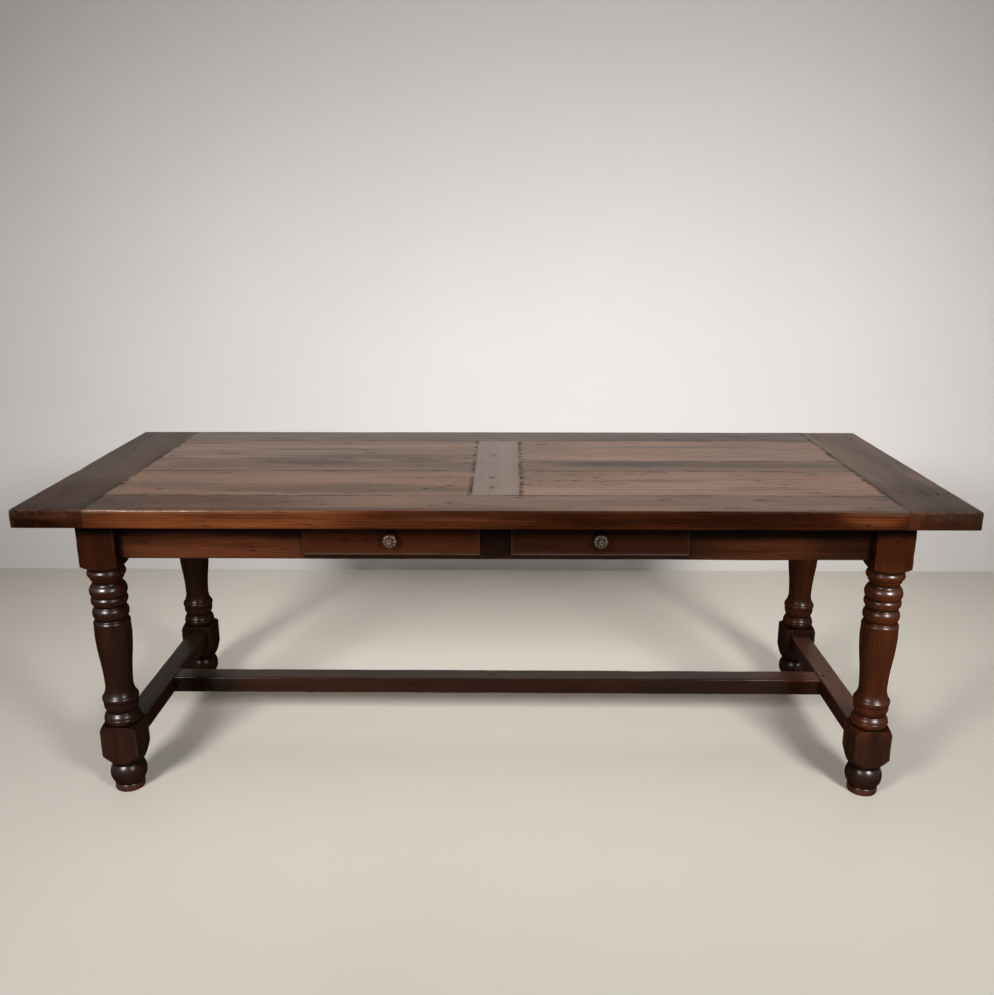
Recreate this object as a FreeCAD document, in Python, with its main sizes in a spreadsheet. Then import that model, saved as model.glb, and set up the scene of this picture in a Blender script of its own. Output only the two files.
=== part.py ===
# Refectory table: framed plank top, four turned legs, H-shaped stretcher and two drawers in the front apron.
# Millimetres. The origin is on the floor under the middle of the top.
# +X runs along the table, +Y to its back and +Z up, so the drawers open towards -Y.
import FreeCAD, Part
import math
import os
import re
import Sketcher
from FreeCAD import Placement, Rotation, Vector

doc = FreeCAD.newDocument("refectory_table")

# Driving sizes, each written once
sizes = {
    # Top: two end boards and two rails frame the field, which a muntin parts in two panels
    "table_height": 775,
    "top_length": 2200,
    "top_width": 866,
    "top_thickness": 44,
    "end_board_width": 168,
    "rail_width": 130,
    "muntin_width": 118,
    "muntin_shift": 3.5,
    "front_board_width": 240,
    "left_middle_width": 138,
    "right_middle_width": 113,
    "top_arris": 5,
    "under_arris": 2,
    "top_corner": 9,
    "tongue_length": 10,
    "tongue_thickness": 10,
    "frame_tenon_length": 60,
    "frame_tenon_thickness": 13,
    "frame_tenon_shoulder": 20,
    "top_peg_diameter": 10,
    "top_peg_outset": 8,
    "top_peg_bite": 40,
    "muntin_peg_diameter": 8,
    "muntin_peg_shift": -10,
    "muntin_peg_front": -227,
    "muntin_peg_middle": -130,
    "muntin_peg_back": 112,
    "muntin_peg_bite": 25,
    # Legs: the square blank, its place under the top, and the turnings from the floor up
    "leg_blank": 90,
    "leg_arris": 2,
    "end_overhang": 115,
    "side_overhang": 72,
    "foot_radius": 35,
    "foot_disc_height": 17,
    "foot_disc_bulge": 1.8,
    "foot_groove_radius": 34,
    "foot_groove_height": 1.5,
    "ball_height": 54.5,
    "ball_bulge": 10.2,
    "ball_neck_radius": 35.5,
    "taper_height": 40,
    "lower_block_height": 59,
    "low_shoulder_height": 15,
    "low_shoulder_radius": 41.5,
    "shoulder_bulge": 2.5,
    "low_ring_height": 29,
    "low_ring_bulge": 4.5,
    "cove_height": 8,
    "cove_radius": 38,
    "cove_hollow": 1.5,
    "base_ring_height": 40,
    "base_ring_radius": 41.4,
    "base_ring_bulge": 5,
    "flare_height": 24,
    "flare_hollow": 1.5,
    "waist_radius": 33.5,
    "vase_low_radius": 39.4,
    "vase_low_hollow": 1.2,
    "vase_middle_height": 43,
    "vase_middle_radius": 43.2,
    "vase_middle_bulge": 0.5,
    "vase_top_height": 56,
    "vase_top_radius": 41.5,
    "vase_top_bulge": 1.8,
    "vase_groove_height": 5,
    "vase_groove_radius": 39,
    "lower_bead_height": 29,
    "lower_bead_radius": 38,
    "lower_bead_bulge": 5,
    "bead_cove_height": 5,
    "bead_cove_hollow": 1.5,
    "middle_bead_height": 23,
    "middle_bead_radius": 41.5,
    "middle_bead_bulge": 4,
    "upper_bead_height": 30,
    "upper_bead_radius": 40,
    "upper_bead_bulge": 3.6,
    "neck_height": 16,
    "neck_hollow": 4.5,
    "fillet_height": 9,
    "fillet_radius": 42,
    "collar_height": 22,
    "collar_radius": 43.5,
    "collar_bulge": 1.5,
    "high_shoulder_height": 14,
    "upper_block_height": 114,
    # Aprons, set back from the legs' faces and tenoned into them
    "apron_height": 107,
    "apron_thickness": 26,
    "apron_setback": 26,
    "apron_arris": 2,
    "apron_tenon_length": 30,
    "apron_tenon_thickness": 12,
    "apron_tenon_shoulder": 12,
    "apron_peg_diameter": 9,
    "apron_peg_edge": 20,
    "peg_bite": 6,
    # Stretchers
    "stretcher_height": 46,
    "stretcher_width": 58,
    "stretcher_drop": 8,
    "stretcher_arris": 3,
    "stretcher_tenon_length": 40,
    "stretcher_tenon_thickness": 20,
    "stretcher_tenon_shoulder": 8,
    "middle_tenon_length": 30,
    "stretcher_peg_diameter": 10,
    # Drawers: a lipped front on a box that slides on runners inside the apron
    "drawer_width": 422,
    "drawer_height": 86,
    "drawer_drop": 7,
    "drawer_gap": 73,
    "drawer_shift": 3.5,
    "drawer_lip": 8,
    "drawer_proud": 12,
    "drawer_edge_round": 5,
    "drawer_plug": 14,
    "drawer_length": 470,
    "drawer_side_height": 64,
    "drawer_side_thickness": 11,
    "drawer_back_thickness": 10,
    "drawer_back_inset": 12,
    "drawer_back_dado": 4,
    "drawer_back_drop": 4,
    "drawer_bottom_thickness": 6,
    "drawer_bottom_lift": 9,
    "drawer_groove": 5,
    "tail_length": 11,
    "tail_root": 16,
    "tail_tip": 22,
    "runner_ledge": 22,
    "runner_thickness": 20,
    "runner_guide": 18,
    "runner_guide_height": 24,
    "housing_depth": 8,
    "kicker_width": 36,
    "bearer_width": 44,
    "bearer_height": 40,
    # Knobs: a cast rosette on a stem, held by a screw from inside the drawer
    "knob_rose_radius": 12,
    "knob_rose_height": 2.5,
    "knob_stem_radius": 5.5,
    "knob_neck_height": 12,
    "knob_rim_height": 3,
    "knob_radius": 18,
    "knob_dome_height": 12,
    "knob_dome_bulge": 2.6,
    "knob_boss_radius": 6,
    "knob_boss_height": 3,
    "knob_boss_bulge": 1,
    "knob_dimple_radius": 2.5,
    "knob_dimple_depth": 1.5,
    "knob_scallop_diameter": 6,
    "knob_petals": 12,
    "screw_diameter": 5,
    "screw_head_diameter": 10,
    "screw_head_height": 3,
    "screw_bite": 9,
    # Clearances
    "fit": 0.15,
    "end_gap": 0.5,
    "stop_gap": 0.3,
    "run_gap": 0.3,
    "drawer_side_gap": 1.5,
    "drawer_head_gap": 1.5,
}

# Turnings of the shaft, from the lower block up: height, radius at the top, and the arc between.
# A bulge stands out from the straight line, a hollow lies inside it.
shaft_turnings = [
    ("low_shoulder_height", "low_shoulder_radius", 1, "shoulder_bulge"),
    ("low_ring_height", "cove_radius", 1, "low_ring_bulge"),
    ("cove_height", "cove_radius", -1, "cove_hollow"),
    ("base_ring_height", "base_ring_radius", 1, "base_ring_bulge"),
    ("flare_height", "waist_radius", -1, "flare_hollow"),
    ("vase_low_height", "vase_low_radius", -1, "vase_low_hollow"),
    ("vase_middle_height", "vase_middle_radius", 1, "vase_middle_bulge"),
    ("vase_top_height", "vase_top_radius", 1, "vase_top_bulge"),
    ("vase_groove_height", "vase_groove_radius", 0, None),
    ("lower_bead_height", "lower_bead_radius", 1, "lower_bead_bulge"),
    ("bead_cove_height", "lower_bead_radius", -1, "bead_cove_hollow"),
    ("middle_bead_height", "middle_bead_radius", 1, "middle_bead_bulge"),
    ("upper_bead_height", "upper_bead_radius", 1, "upper_bead_bulge"),
    ("neck_height", "upper_bead_radius", -1, "neck_hollow"),
    ("fillet_height", "fillet_radius", 0, None),
    ("collar_height", "collar_radius", 1, "collar_bulge"),
    ("high_shoulder_height", "turning_reach", 1, "shoulder_bulge"),
]
fixed_turnings = " + ".join(turning[0] for turning in shaft_turnings if turning[0] in sizes)

# Places worked out from the sizes. The lower part of the vase takes up what height the leg has left.
places = {
    "leg_height": "table_height - top_thickness",
    "top_middle": "table_height - top_thickness / 2",
    "half_length": "top_length / 2",
    "half_width": "top_width / 2",
    "field_x": "half_length - end_board_width",
    "field_y": "half_width - rail_width",
    "muntin_left": "muntin_shift - muntin_width / 2",
    "muntin_right": "muntin_shift + muntin_width / 2",
    "front_joint": "front_board_width - field_y",
    "left_joint": "front_joint + left_middle_width",
    "right_joint": "front_joint + right_middle_width",
    "leg_half": "leg_blank / 2",
    "leg_x": "half_length - end_overhang - leg_half",
    "leg_y": "half_width - side_overhang - leg_half",
    "turning_reach": "leg_blank * 0.75",
    "lower_block_bottom": "foot_disc_height + foot_groove_height + ball_height + taper_height",
    "lower_block_top": "lower_block_bottom + lower_block_height",
    "vase_low_height": f"leg_height - upper_block_height - lower_block_top - ({fixed_turnings})",
    "apron_out": "leg_half - apron_setback - apron_thickness / 2",
    "apron_x": "leg_x + apron_out",
    "apron_y": "leg_y + apron_out",
    "apron_face": "apron_y + apron_thickness / 2",
    "apron_inside": "apron_y - apron_thickness / 2",
    "apron_bottom": "leg_height - apron_height",
    "apron_tenon_bottom": "apron_bottom + apron_tenon_shoulder",
    "apron_tenon_top": "leg_height - apron_tenon_shoulder",
    "apron_peg_low": "apron_tenon_bottom + apron_peg_edge",
    "apron_peg_high": "apron_tenon_top - apron_peg_edge",
    "apron_peg_depth": "leg_half - apron_out + apron_tenon_thickness / 2 + peg_bite",
    "apron_end_x": "leg_x - leg_half",
    "apron_end_y": "leg_y - leg_half",
    "stretcher_top": "lower_block_top - stretcher_drop",
    "stretcher_bottom": "stretcher_top - stretcher_height",
    "stretcher_middle": "stretcher_top - stretcher_height / 2",
    "stretcher_tenon_bottom": "stretcher_bottom + stretcher_tenon_shoulder",
    "stretcher_tenon_top": "stretcher_top - stretcher_tenon_shoulder",
    "stretcher_peg_depth": "leg_half + stretcher_tenon_thickness / 2 + peg_bite",
    "middle_peg_depth": "stretcher_height - stretcher_tenon_shoulder + fit",
    "long_end": "leg_x - stretcher_width / 2",
    "drawer_pitch": "drawer_width + drawer_gap",
    "left_drawer_x": "drawer_shift - drawer_pitch / 2",
    "right_drawer_x": "drawer_shift + drawer_pitch / 2",
    "drawer_top": "leg_height - drawer_drop",
    "drawer_bottom": "drawer_top - drawer_height",
    "drawer_middle": "drawer_top - drawer_height / 2",
    "opening_half": "drawer_width / 2 - drawer_lip",
    "opening_bottom": "drawer_bottom + drawer_lip",
    "opening_top": "drawer_top - drawer_lip",
    "plug_half": "opening_half - drawer_side_gap",
    "box_half": "plug_half - drawer_side_thickness",
    "side_bottom": "opening_bottom + run_gap",
    "side_top": "side_bottom + drawer_side_height",
    "panel_bottom": "side_bottom + drawer_bottom_lift",
    "panel_top": "panel_bottom + drawer_bottom_thickness",
    "back_front": "drawer_length - drawer_back_inset - drawer_back_thickness",
    "back_rear": "drawer_length - drawer_back_inset",
    "runner_length": "2 * (apron_inside + housing_depth)",
    "bearer_bottom": "leg_height - bearer_height",
    "knob_rim": "knob_rose_height + knob_neck_height",
    "knob_shoulder": "knob_rim + knob_rim_height",
    "knob_crown": "knob_shoulder + knob_dome_height",
}

functions = ("sin", "cos")


def bound(text, home=None):
    """An expression whose words name the cells of the two sheets; words of the home sheet stay bare."""
    def named(match):
        word = match.group(0)
        if word in functions:
            return word
        sheet = "sizes" if word in sizes else "places"
        if word not in sizes and word not in places:
            raise KeyError(word)
        return word if sheet == home else f"{sheet}.{word}"
    return re.sub(r"[A-Za-z_]\w*", named, text)


def fill_sheet(name, cells):
    """A sheet with a name and an aliased value on each row."""
    sheet = doc.addObject("Spreadsheet::Sheet", name)
    for row, (alias, content) in enumerate(cells, start=1):
        sheet.set(f"A{row}", alias)
        sheet.set(f"B{row}", content)
        sheet.setAlias(f"B{row}", alias)
    return sheet


size_sheet = fill_sheet("sizes", [(alias, str(number)) for alias, number in sizes.items()])
place_sheet = fill_sheet("places", [(alias, "=" + bound(text, "places")) for alias, text in places.items()])
doc.recompute()

nodes = []


def node(item, label):
    """Name an object as one piece of the table."""
    item.Label = label
    nodes.append(item)
    return item


def place(item, x="0", y="0", z="0"):
    """Bind an object's position."""
    for axis, text in zip("xyz", (x, y, z)):
        item.setExpression("Placement.Base." + axis, bound(text))
    return item


# Outlines: lists of corners, each a pair of expressions from the sketch's origin
def rect(left, bottom, right, top):
    return [(left, bottom), (right, bottom), (right, top), (left, top)]


def circle(x, y, diameter):
    return ("circle", x, y, diameter)


def new_sketch(body, plane, lift=None):
    """A sketch on one of the body's own planes, moved along its normal by lift."""
    sketch = body.newObject("Sketcher::SketchObject", "sketch")
    support = next(item for item in body.Origin.OriginFeatures if item.Role == plane)
    sketch.AttachmentSupport = [(support, "")]
    sketch.MapMode = "FlatFace"
    if lift:
        sketch.setExpression("AttachmentOffset.Base.z", bound(lift))
    return sketch


def fix_point(sketch, geometry, position, x, y):
    """Hold a point at a place given by two expressions."""
    now = sketch.getPoint(geometry, position)
    for kind, start, text in (("DistanceX", now.x, x), ("DistanceY", now.y, y)):
        number = sketch.addConstraint(Sketcher.Constraint(kind, -1, 1, geometry, position, start))
        sketch.setExpression(f"Constraints[{number}]", bound(text))


def draw(sketch, outline):
    """Draw a circle, or a closed outline of straight sides; returns its first side."""
    first = sketch.GeometryCount
    if outline[0] == "circle":
        x, y, diameter = outline[1:]
        sketch.addGeometry(Part.Circle(Vector(), Vector(0, 0, 1), 1), False)
        fix_point(sketch, first, 3, x, y)
        number = sketch.addConstraint(Sketcher.Constraint("Diameter", first, 2))
        sketch.setExpression(f"Constraints[{number}]", bound(diameter))
        return first
    count = len(outline)
    turns = [2 * math.pi * step / count for step in range(count)]
    rough = [Vector(math.cos(turn), math.sin(turn), 0) for turn in turns]
    for step in range(count):
        sketch.addGeometry(Part.LineSegment(rough[step], rough[(step + 1) % count]), False)
    for step, (x, y) in enumerate(outline):
        following = first + (step + 1) % count
        sketch.addConstraint(Sketcher.Constraint("Coincident", first + step, 2, following, 1))
        fix_point(sketch, first + step, 1, x, y)
    return first


def bow(sketch, line, start, end, sign, bulge):
    """Bend a side into an arc whose middle lies bulge away from it, to the right of its run if sign is 1."""
    begin = sketch.getPoint(line, 1)
    finish = sketch.getPoint(line, 2)
    run = finish - begin
    depth = size_sheet.get(bulge)
    across = Vector(run.y, -run.x, 0).normalize() * (sign * depth)
    arc = sketch.addGeometry(Part.Arc(begin, (begin + finish) * 0.5 + across, finish), False)
    sketch.toggleConstruction(line)
    for tip in (1, 2):
        at_begin = sketch.getPoint(arc, tip).distanceToPoint(begin) < run.Length / 2
        sketch.addConstraint(Sketcher.Constraint("Coincident", arc, tip, line, 1 if at_begin else 2))
    chord = f"(({end[0]}) - ({start[0]}))^2 + (({end[1]}) - ({start[1]}))^2"
    radius = run.Length ** 2 / (8 * depth) + depth / 2
    number = sketch.addConstraint(Sketcher.Constraint("Radius", arc, radius))
    sketch.setExpression(f"Constraints[{number}]", bound(f"({chord}) / (8 * {bulge}) + {bulge} / 2"))


def profile(body, plane, outline, arcs, lift=None):
    """A sketch of one outline, with the sides that arcs names bent; arcs maps a side to (sign, bulge)."""
    sketch = new_sketch(body, plane, lift)
    first = draw(sketch, outline)
    doc.recompute()
    for side, (sign, bulge) in arcs.items():
        bow(sketch, first + side, outline[side], outline[(side + 1) % len(outline)], sign, bulge)
    return sketch


# Features, each of which has to change the body's volume the right way
def finish_feature(body, feature, before, grows):
    doc.recompute()
    change = feature.Shape.Volume - before
    if feature.State != ["Up-to-date"] or change == 0 or (change > 0) != grows:
        raise RuntimeError(f"{body.Name}: {feature.Name} changed the volume by {change}, {feature.State}")
    return feature


def volume_of(body):
    return body.Shape.Volume if body.Tip else 0


def add(body, plane, outlines, thickness, lift=None, side="Symmetric", reverse=False):
    """Pad outlines by thickness: half to each side of the plane, or all to one side."""
    before = volume_of(body)
    sketch = new_sketch(body, plane, lift)
    for outline in outlines:
        draw(sketch, outline)
    pad = body.newObject("PartDesign::Pad", "pad")
    pad.Profile = sketch
    pad.SideType = side
    pad.Reversed = reverse
    pad.setExpression("Length", bound(thickness))
    return finish_feature(body, pad, before, True)


def cut(body, plane, outlines, depth, lift=None, side="Symmetric", reverse=False):
    """Pocket outlines by depth: half to each side of the plane, or all to one side."""
    before = volume_of(body)
    sketch = new_sketch(body, plane, lift)
    for outline in outlines:
        draw(sketch, outline)
    pocket = body.newObject("PartDesign::Pocket", "pocket")
    pocket.Profile = sketch
    pocket.SideType = side
    pocket.Reversed = reverse
    pocket.setExpression("Length", bound(depth))
    return finish_feature(body, pocket, before, False)


def round_over(body, radius, chosen):
    """Round the edges of the body's last feature that chosen picks."""
    base = body.Tip
    box = base.Shape.BoundBox
    names = [f"Edge{number}" for number, edge in enumerate(base.Shape.Edges, start=1) if chosen(edge, box)]
    before = volume_of(body)
    fillet = body.newObject("PartDesign::Fillet", "fillet")
    fillet.Base = (base, names)
    fillet.setExpression("Radius", bound(radius))
    return finish_feature(body, fillet, before, False)


def same(one, other):
    return abs(one - other) < 1e-4


def runs_along(edge, axis):
    """Whether an edge runs along one axis only."""
    box = edge.BoundBox
    spans = {"x": box.XLength, "y": box.YLength, "z": box.ZLength}
    return all((span > 1e-4) == (name == axis) for name, span in spans.items())


def mirrored(source, label, normal):
    """A piece that mirrors another one across the middle of the table."""
    item = doc.addObject("Part::Mirroring", label)
    item.Source = source
    item.Normal = normal
    return node(item, label)


def dowel(direction, x, y, z, diameter, length):
    """A round peg whose axis runs along direction from the given point."""
    item = doc.addObject("Part::Cylinder", "peg")
    item.Placement = Placement(Vector(), Rotation(Vector(0, 0, 1), direction))
    item.setExpression("Radius", bound(f"({diameter}) / 2"))
    item.setExpression("Height", bound(length))
    return place(item, x, y, z)


def group(label, items):
    """Like pieces that share one name, each a solid of its own."""
    item = doc.addObject("Part::Compound", label)
    item.Links = items
    return node(item, label)


across_x = Vector(1, 0, 0)
across_y = Vector(0, 1, 0)
upward = Vector(0, 0, 1)
four_corners = [(x, y) for x in (-1, 1) for y in (-1, 1)]
two_ends = (-1, 1)


# Top
def plank(label, face, tongues=(), slots=()):
    """A board of the top, drawn in plan about its mid-thickness, with its tongues or tenons and its slots."""
    body = node(doc.addObject("PartDesign::Body", label), label)
    add(body, "XY_Plane", [face], "top_thickness")
    for outline, thickness in tongues:
        add(body, "XY_Plane", [outline], thickness)
    for outlines, thickness in slots:
        cut(body, "XY_Plane", outlines, f"{thickness} + 2 * fit")
    place(body, z="top_middle")
    return body


def outer_rim(edge, box, level):
    """Edges of the top's outer rim at one level, all but the inner joint at the least X."""
    bounds = edge.BoundBox
    inner = same(bounds.XMax, box.XMin)
    return same(bounds.ZMin, level) and same(bounds.ZMax, level) and not inner


groove_end = "tongue_length + end_gap"
mortise_end = "frame_tenon_length + end_gap"

end_board = node(doc.addObject("PartDesign::Body", "top_end_board_right"), "top_end_board_right")
add(end_board, "XY_Plane", [rect("field_x", "-half_width", "half_length", "half_width")], "top_thickness")
round_over(end_board, "top_corner", lambda edge, box: runs_along(edge, "z") and same(edge.BoundBox.XMax, box.XMax))
round_over(end_board, "top_arris", lambda edge, box: outer_rim(edge, box, box.ZMax))
round_over(end_board, "under_arris", lambda edge, box: outer_rim(edge, box, box.ZMin))
cut(end_board, "XY_Plane", [rect("field_x", "-field_y", f"field_x + {groove_end}", "field_y")],
    "tongue_thickness + 2 * fit")
cut(end_board, "XY_Plane",
    [rect("field_x", f"{end} * (half_width + field_y) / 2 - (rail_width / 2 - frame_tenon_shoulder + fit)",
          f"field_x + {mortise_end}",
          f"{end} * (half_width + field_y) / 2 + (rail_width / 2 - frame_tenon_shoulder + fit)")
     for end in two_ends], "frame_tenon_thickness + 2 * fit")
cut(end_board, "XY_Plane", [circle("leg_x + top_peg_outset", f"{end} * leg_y", "top_peg_diameter + 2 * fit")
                            for end in two_ends], "2 * top_thickness")
place(end_board, z="top_middle")
mirrored(end_board, "top_end_board_left", across_x)

rail = plank(
    "top_front_rail",
    rect("-field_x", "-half_width", "field_x", "-field_y"),
    tongues=[(rect("-field_x - frame_tenon_length", "-half_width + frame_tenon_shoulder",
                   "field_x + frame_tenon_length", "-field_y - frame_tenon_shoulder"), "frame_tenon_thickness")],
    slots=[([rect("-field_x", f"-field_y - ({groove_end})", "field_x", "-field_y")], "tongue_thickness"),
           ([rect("muntin_left + frame_tenon_shoulder - fit", f"-field_y - ({mortise_end})",
                  "muntin_right - frame_tenon_shoulder + fit", "-field_y")], "frame_tenon_thickness")])
for level, radius in (("ZMax", "top_arris"), ("ZMin", "under_arris")):
    round_over(rail, radius, lambda edge, box: runs_along(edge, "x") and same(edge.BoundBox.YMin, box.YMin)
               and same(edge.BoundBox.ZMin, getattr(box, level)))
mirrored(rail, "top_back_rail", across_y)

muntin = plank(
    "top_muntin",
    rect("muntin_left", "-field_y", "muntin_right", "field_y"),
    tongues=[(rect("muntin_left + frame_tenon_shoulder", "-field_y - frame_tenon_length",
                   "muntin_right - frame_tenon_shoulder", "field_y + frame_tenon_length"), "frame_tenon_thickness")],
    slots=[([rect("muntin_left", "-field_y", f"muntin_left + {groove_end}", "field_y"),
             rect(f"muntin_right - ({groove_end})", "-field_y", "muntin_right", "field_y")], "tongue_thickness")])
muntin_pegs = ("muntin_peg_front", "muntin_peg_middle", "muntin_peg_back")
cut(muntin, "XY_Plane", [circle("muntin_shift + muntin_peg_shift", y, "muntin_peg_diameter + 2 * fit")
                         for y in muntin_pegs], "2 * top_thickness")


def field_board(label, left, right, front, back, tongued_front):
    """A board of the field: a tongue at each end and at the back, and a tongue or a groove in front."""
    start = front if tongued_front else f"{front} + {groove_end}"
    tongues = [(rect(f"{left} - tongue_length", start, f"{right} + tongue_length", back), "tongue_thickness"),
               (rect(left, start, right, f"{back} + tongue_length"), "tongue_thickness")]
    slots = []
    if tongued_front:
        tongues.append((rect(left, f"{front} - tongue_length", right, back), "tongue_thickness"))
    else:
        slots.append(([rect(left, front, right, start)], "tongue_thickness"))
    return plank(label, rect(left, front, right, back), tongues, slots)


for panel, left, right, joint in (("left", "-field_x", "muntin_left", "left_joint"),
                                  ("right", "muntin_right", "field_x", "right_joint")):
    field_board(f"field_board_{panel}_front", left, right, "-field_y", "front_joint", True)
    field_board(f"field_board_{panel}_middle", left, right, "front_joint", joint, False)
    field_board(f"field_board_{panel}_back", left, right, joint, "field_y", False)

down = -upward
group("top_pegs",
      [dowel(down, f"{x} * (leg_x + top_peg_outset)", f"{y} * leg_y", "table_height",
             "top_peg_diameter", "top_thickness + top_peg_bite") for x, y in four_corners]
      + [dowel(down, "muntin_shift + muntin_peg_shift", y, "table_height",
               "muntin_peg_diameter", "top_thickness + muntin_peg_bite") for y in muntin_pegs])

# Legs, turned from a square blank between the blocks that take the joints
leg = node(doc.addObject("PartDesign::Body", "leg_front_left"), "leg_front_left")
add(leg, "XY_Plane", [rect("-leg_half", "-leg_half", "leg_half", "leg_half")], "leg_height", side="One side")
round_over(leg, "leg_arris", lambda edge, box: runs_along(edge, "z"))


def turn_away(body, outline, arcs):
    """Turn the blank down: what lies between the outline and the blank's corners goes."""
    before = volume_of(body)
    groove = body.newObject("PartDesign::Groove", "groove")
    sketch = profile(body, "XZ_Plane", outline, arcs)
    groove.Profile = sketch
    groove.ReferenceAxis = (sketch, ["V_Axis"])
    groove.Angle = 360
    return finish_feature(body, groove, before, False)


ball_bottom = "foot_disc_height + foot_groove_height"
foot_outline = [
    ("foot_radius", "0"),
    ("foot_radius", "foot_disc_height"),
    ("foot_groove_radius", ball_bottom),
    ("ball_neck_radius", f"{ball_bottom} + ball_height"),
    ("turning_reach", "lower_block_bottom"),
    ("turning_reach", "0"),
]
turn_away(leg, foot_outline, {0: (1, "foot_disc_bulge"), 2: (1, "ball_bulge")})

shaft_outline = [("turning_reach", "lower_block_top")]
shaft_arcs = {}
for number, (height, radius, sign, bulge) in enumerate(shaft_turnings):
    shaft_outline.append((radius, f"{shaft_outline[-1][1]} + {height}"))
    if bulge:
        shaft_arcs[number] = (sign, bulge)
turn_away(leg, shaft_outline, shaft_arcs)

mortise_side = "apron_tenon_thickness / 2 + fit"
apron_mortise = rect(f"-apron_out - ({mortise_side})", "apron_tenon_bottom - fit",
                     f"-apron_out + {mortise_side}", "apron_tenon_top + fit")
apron_mortise_depth = "apron_tenon_length + end_gap"
stretcher_mortise = rect("-stretcher_tenon_thickness / 2 - fit", "stretcher_tenon_bottom - fit",
                         "stretcher_tenon_thickness / 2 + fit", "stretcher_tenon_top + fit")
apron_peg_holes = [circle("leg_half - apron_tenon_length / 2", height, "apron_peg_diameter + 2 * fit")
                   for height in ("apron_peg_low", "apron_peg_high")]
stretcher_peg_hole = circle("leg_half - stretcher_tenon_length / 2", "stretcher_middle",
                            "stretcher_peg_diameter + 2 * fit")
cut(leg, "YZ_Plane", [apron_mortise], apron_mortise_depth, "leg_half", "One side")
cut(leg, "XZ_Plane", [apron_mortise], apron_mortise_depth, "-leg_half", "One side", reverse=True)
cut(leg, "XZ_Plane", [stretcher_mortise], "stretcher_tenon_length + end_gap", "-leg_half", "One side", reverse=True)
cut(leg, "XZ_Plane", apron_peg_holes, "apron_peg_depth + end_gap", "leg_half", "One side")
cut(leg, "YZ_Plane", apron_peg_holes, "apron_peg_depth + end_gap", "-leg_half", "One side", reverse=True)
cut(leg, "YZ_Plane", [stretcher_peg_hole], "stretcher_peg_depth + end_gap", "-leg_half", "One side", reverse=True)
cut(leg, "XY_Plane", [circle("-top_peg_outset", "0", "top_peg_diameter + 2 * fit")],
    "top_peg_bite + end_gap", "leg_height", "One side")
place(leg, "-leg_x", "-leg_y")
leg_front_right = mirrored(leg, "leg_front_right", across_x)
mirrored(leg, "leg_back_left", across_y)
mirrored(leg_front_right, "leg_back_right", across_y)


# Aprons
def apron(label, plane, end):
    """An apron board with a tenon at each end, drawn in elevation about its mid-thickness."""
    body = node(doc.addObject("PartDesign::Body", label), label)
    add(body, plane, [rect(f"-{end}", "apron_bottom", end, "leg_height")], "apron_thickness")
    axis = "x" if plane == "XZ_Plane" else "y"
    round_over(body, "apron_arris", lambda edge, box: runs_along(edge, axis) and same(edge.BoundBox.ZMin, box.ZMin))
    add(body, plane, [rect(f"-{end} - apron_tenon_length", "apron_tenon_bottom",
                           f"{end} + apron_tenon_length", "apron_tenon_top")], "apron_tenon_thickness")
    cut(body, plane, [circle(f"{side} * ({end} + apron_tenon_length / 2)", height, "apron_peg_diameter + 2 * fit")
                      for side in two_ends for height in ("apron_peg_low", "apron_peg_high")], "apron_thickness")
    return body


drawer_centres = ("left_drawer_x", "right_drawer_x")


def runner_section(centre, side, room):
    """The L-shaped section of a runner: a ledge under the drawer's side and a guide beside it."""
    def corner(x, z):
        return (f"{centre} + {side} * ({x})", z)
    return [
        corner(f"opening_half - runner_ledge - {room}", f"opening_bottom - runner_thickness - {room}"),
        corner(f"opening_half + runner_guide + {room}", f"opening_bottom - runner_thickness - {room}"),
        corner(f"opening_half + runner_guide + {room}", f"opening_bottom + runner_guide_height + {room}"),
        corner(f"opening_half - {room}", f"opening_bottom + runner_guide_height + {room}"),
        corner(f"opening_half - {room}", f"opening_bottom + {room}"),
        corner(f"opening_half - runner_ledge - {room}", f"opening_bottom + {room}"),
    ]


def bearer_section(room):
    return rect(f"muntin_shift - bearer_width / 2 - {room}", f"bearer_bottom - {room}",
                f"muntin_shift + bearer_width / 2 + {room}", "leg_height")


housings = [runner_section(centre, side, "fit") for centre in drawer_centres for side in two_ends]
housings.append(bearer_section("fit"))
openings = [rect(f"{centre} - opening_half", "opening_bottom", f"{centre} + opening_half", "opening_top")
            for centre in drawer_centres]

front_apron = apron("front_apron", "XZ_Plane", "apron_end_x")
cut(front_apron, "XZ_Plane", openings, "2 * apron_thickness")
cut(front_apron, "XZ_Plane", housings, "housing_depth + end_gap", "-apron_thickness / 2", "One side", reverse=True)
place(front_apron, y="-apron_y")

back_apron = apron("back_apron", "XZ_Plane", "apron_end_x")
cut(back_apron, "XZ_Plane", housings, "housing_depth + end_gap", "apron_thickness / 2", "One side")
place(back_apron, y="apron_y")

left_apron = apron("left_apron", "YZ_Plane", "apron_end_y")
place(left_apron, x="-apron_x")
mirrored(left_apron, "right_apron", across_x)

apron_peg_heights = ("apron_peg_low", "apron_peg_high")
group("apron_pegs",
      [dowel(Vector(0, -y, 0), f"{x} * (apron_end_x + apron_tenon_length / 2)", f"{y} * (leg_y + leg_half)", height,
             "apron_peg_diameter", "apron_peg_depth") for x, y in four_corners for height in apron_peg_heights]
      + [dowel(Vector(-x, 0, 0), f"{x} * (leg_x + leg_half)", f"{y} * (apron_end_y + apron_tenon_length / 2)", height,
               "apron_peg_diameter", "apron_peg_depth") for x, y in four_corners for height in apron_peg_heights])


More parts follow.
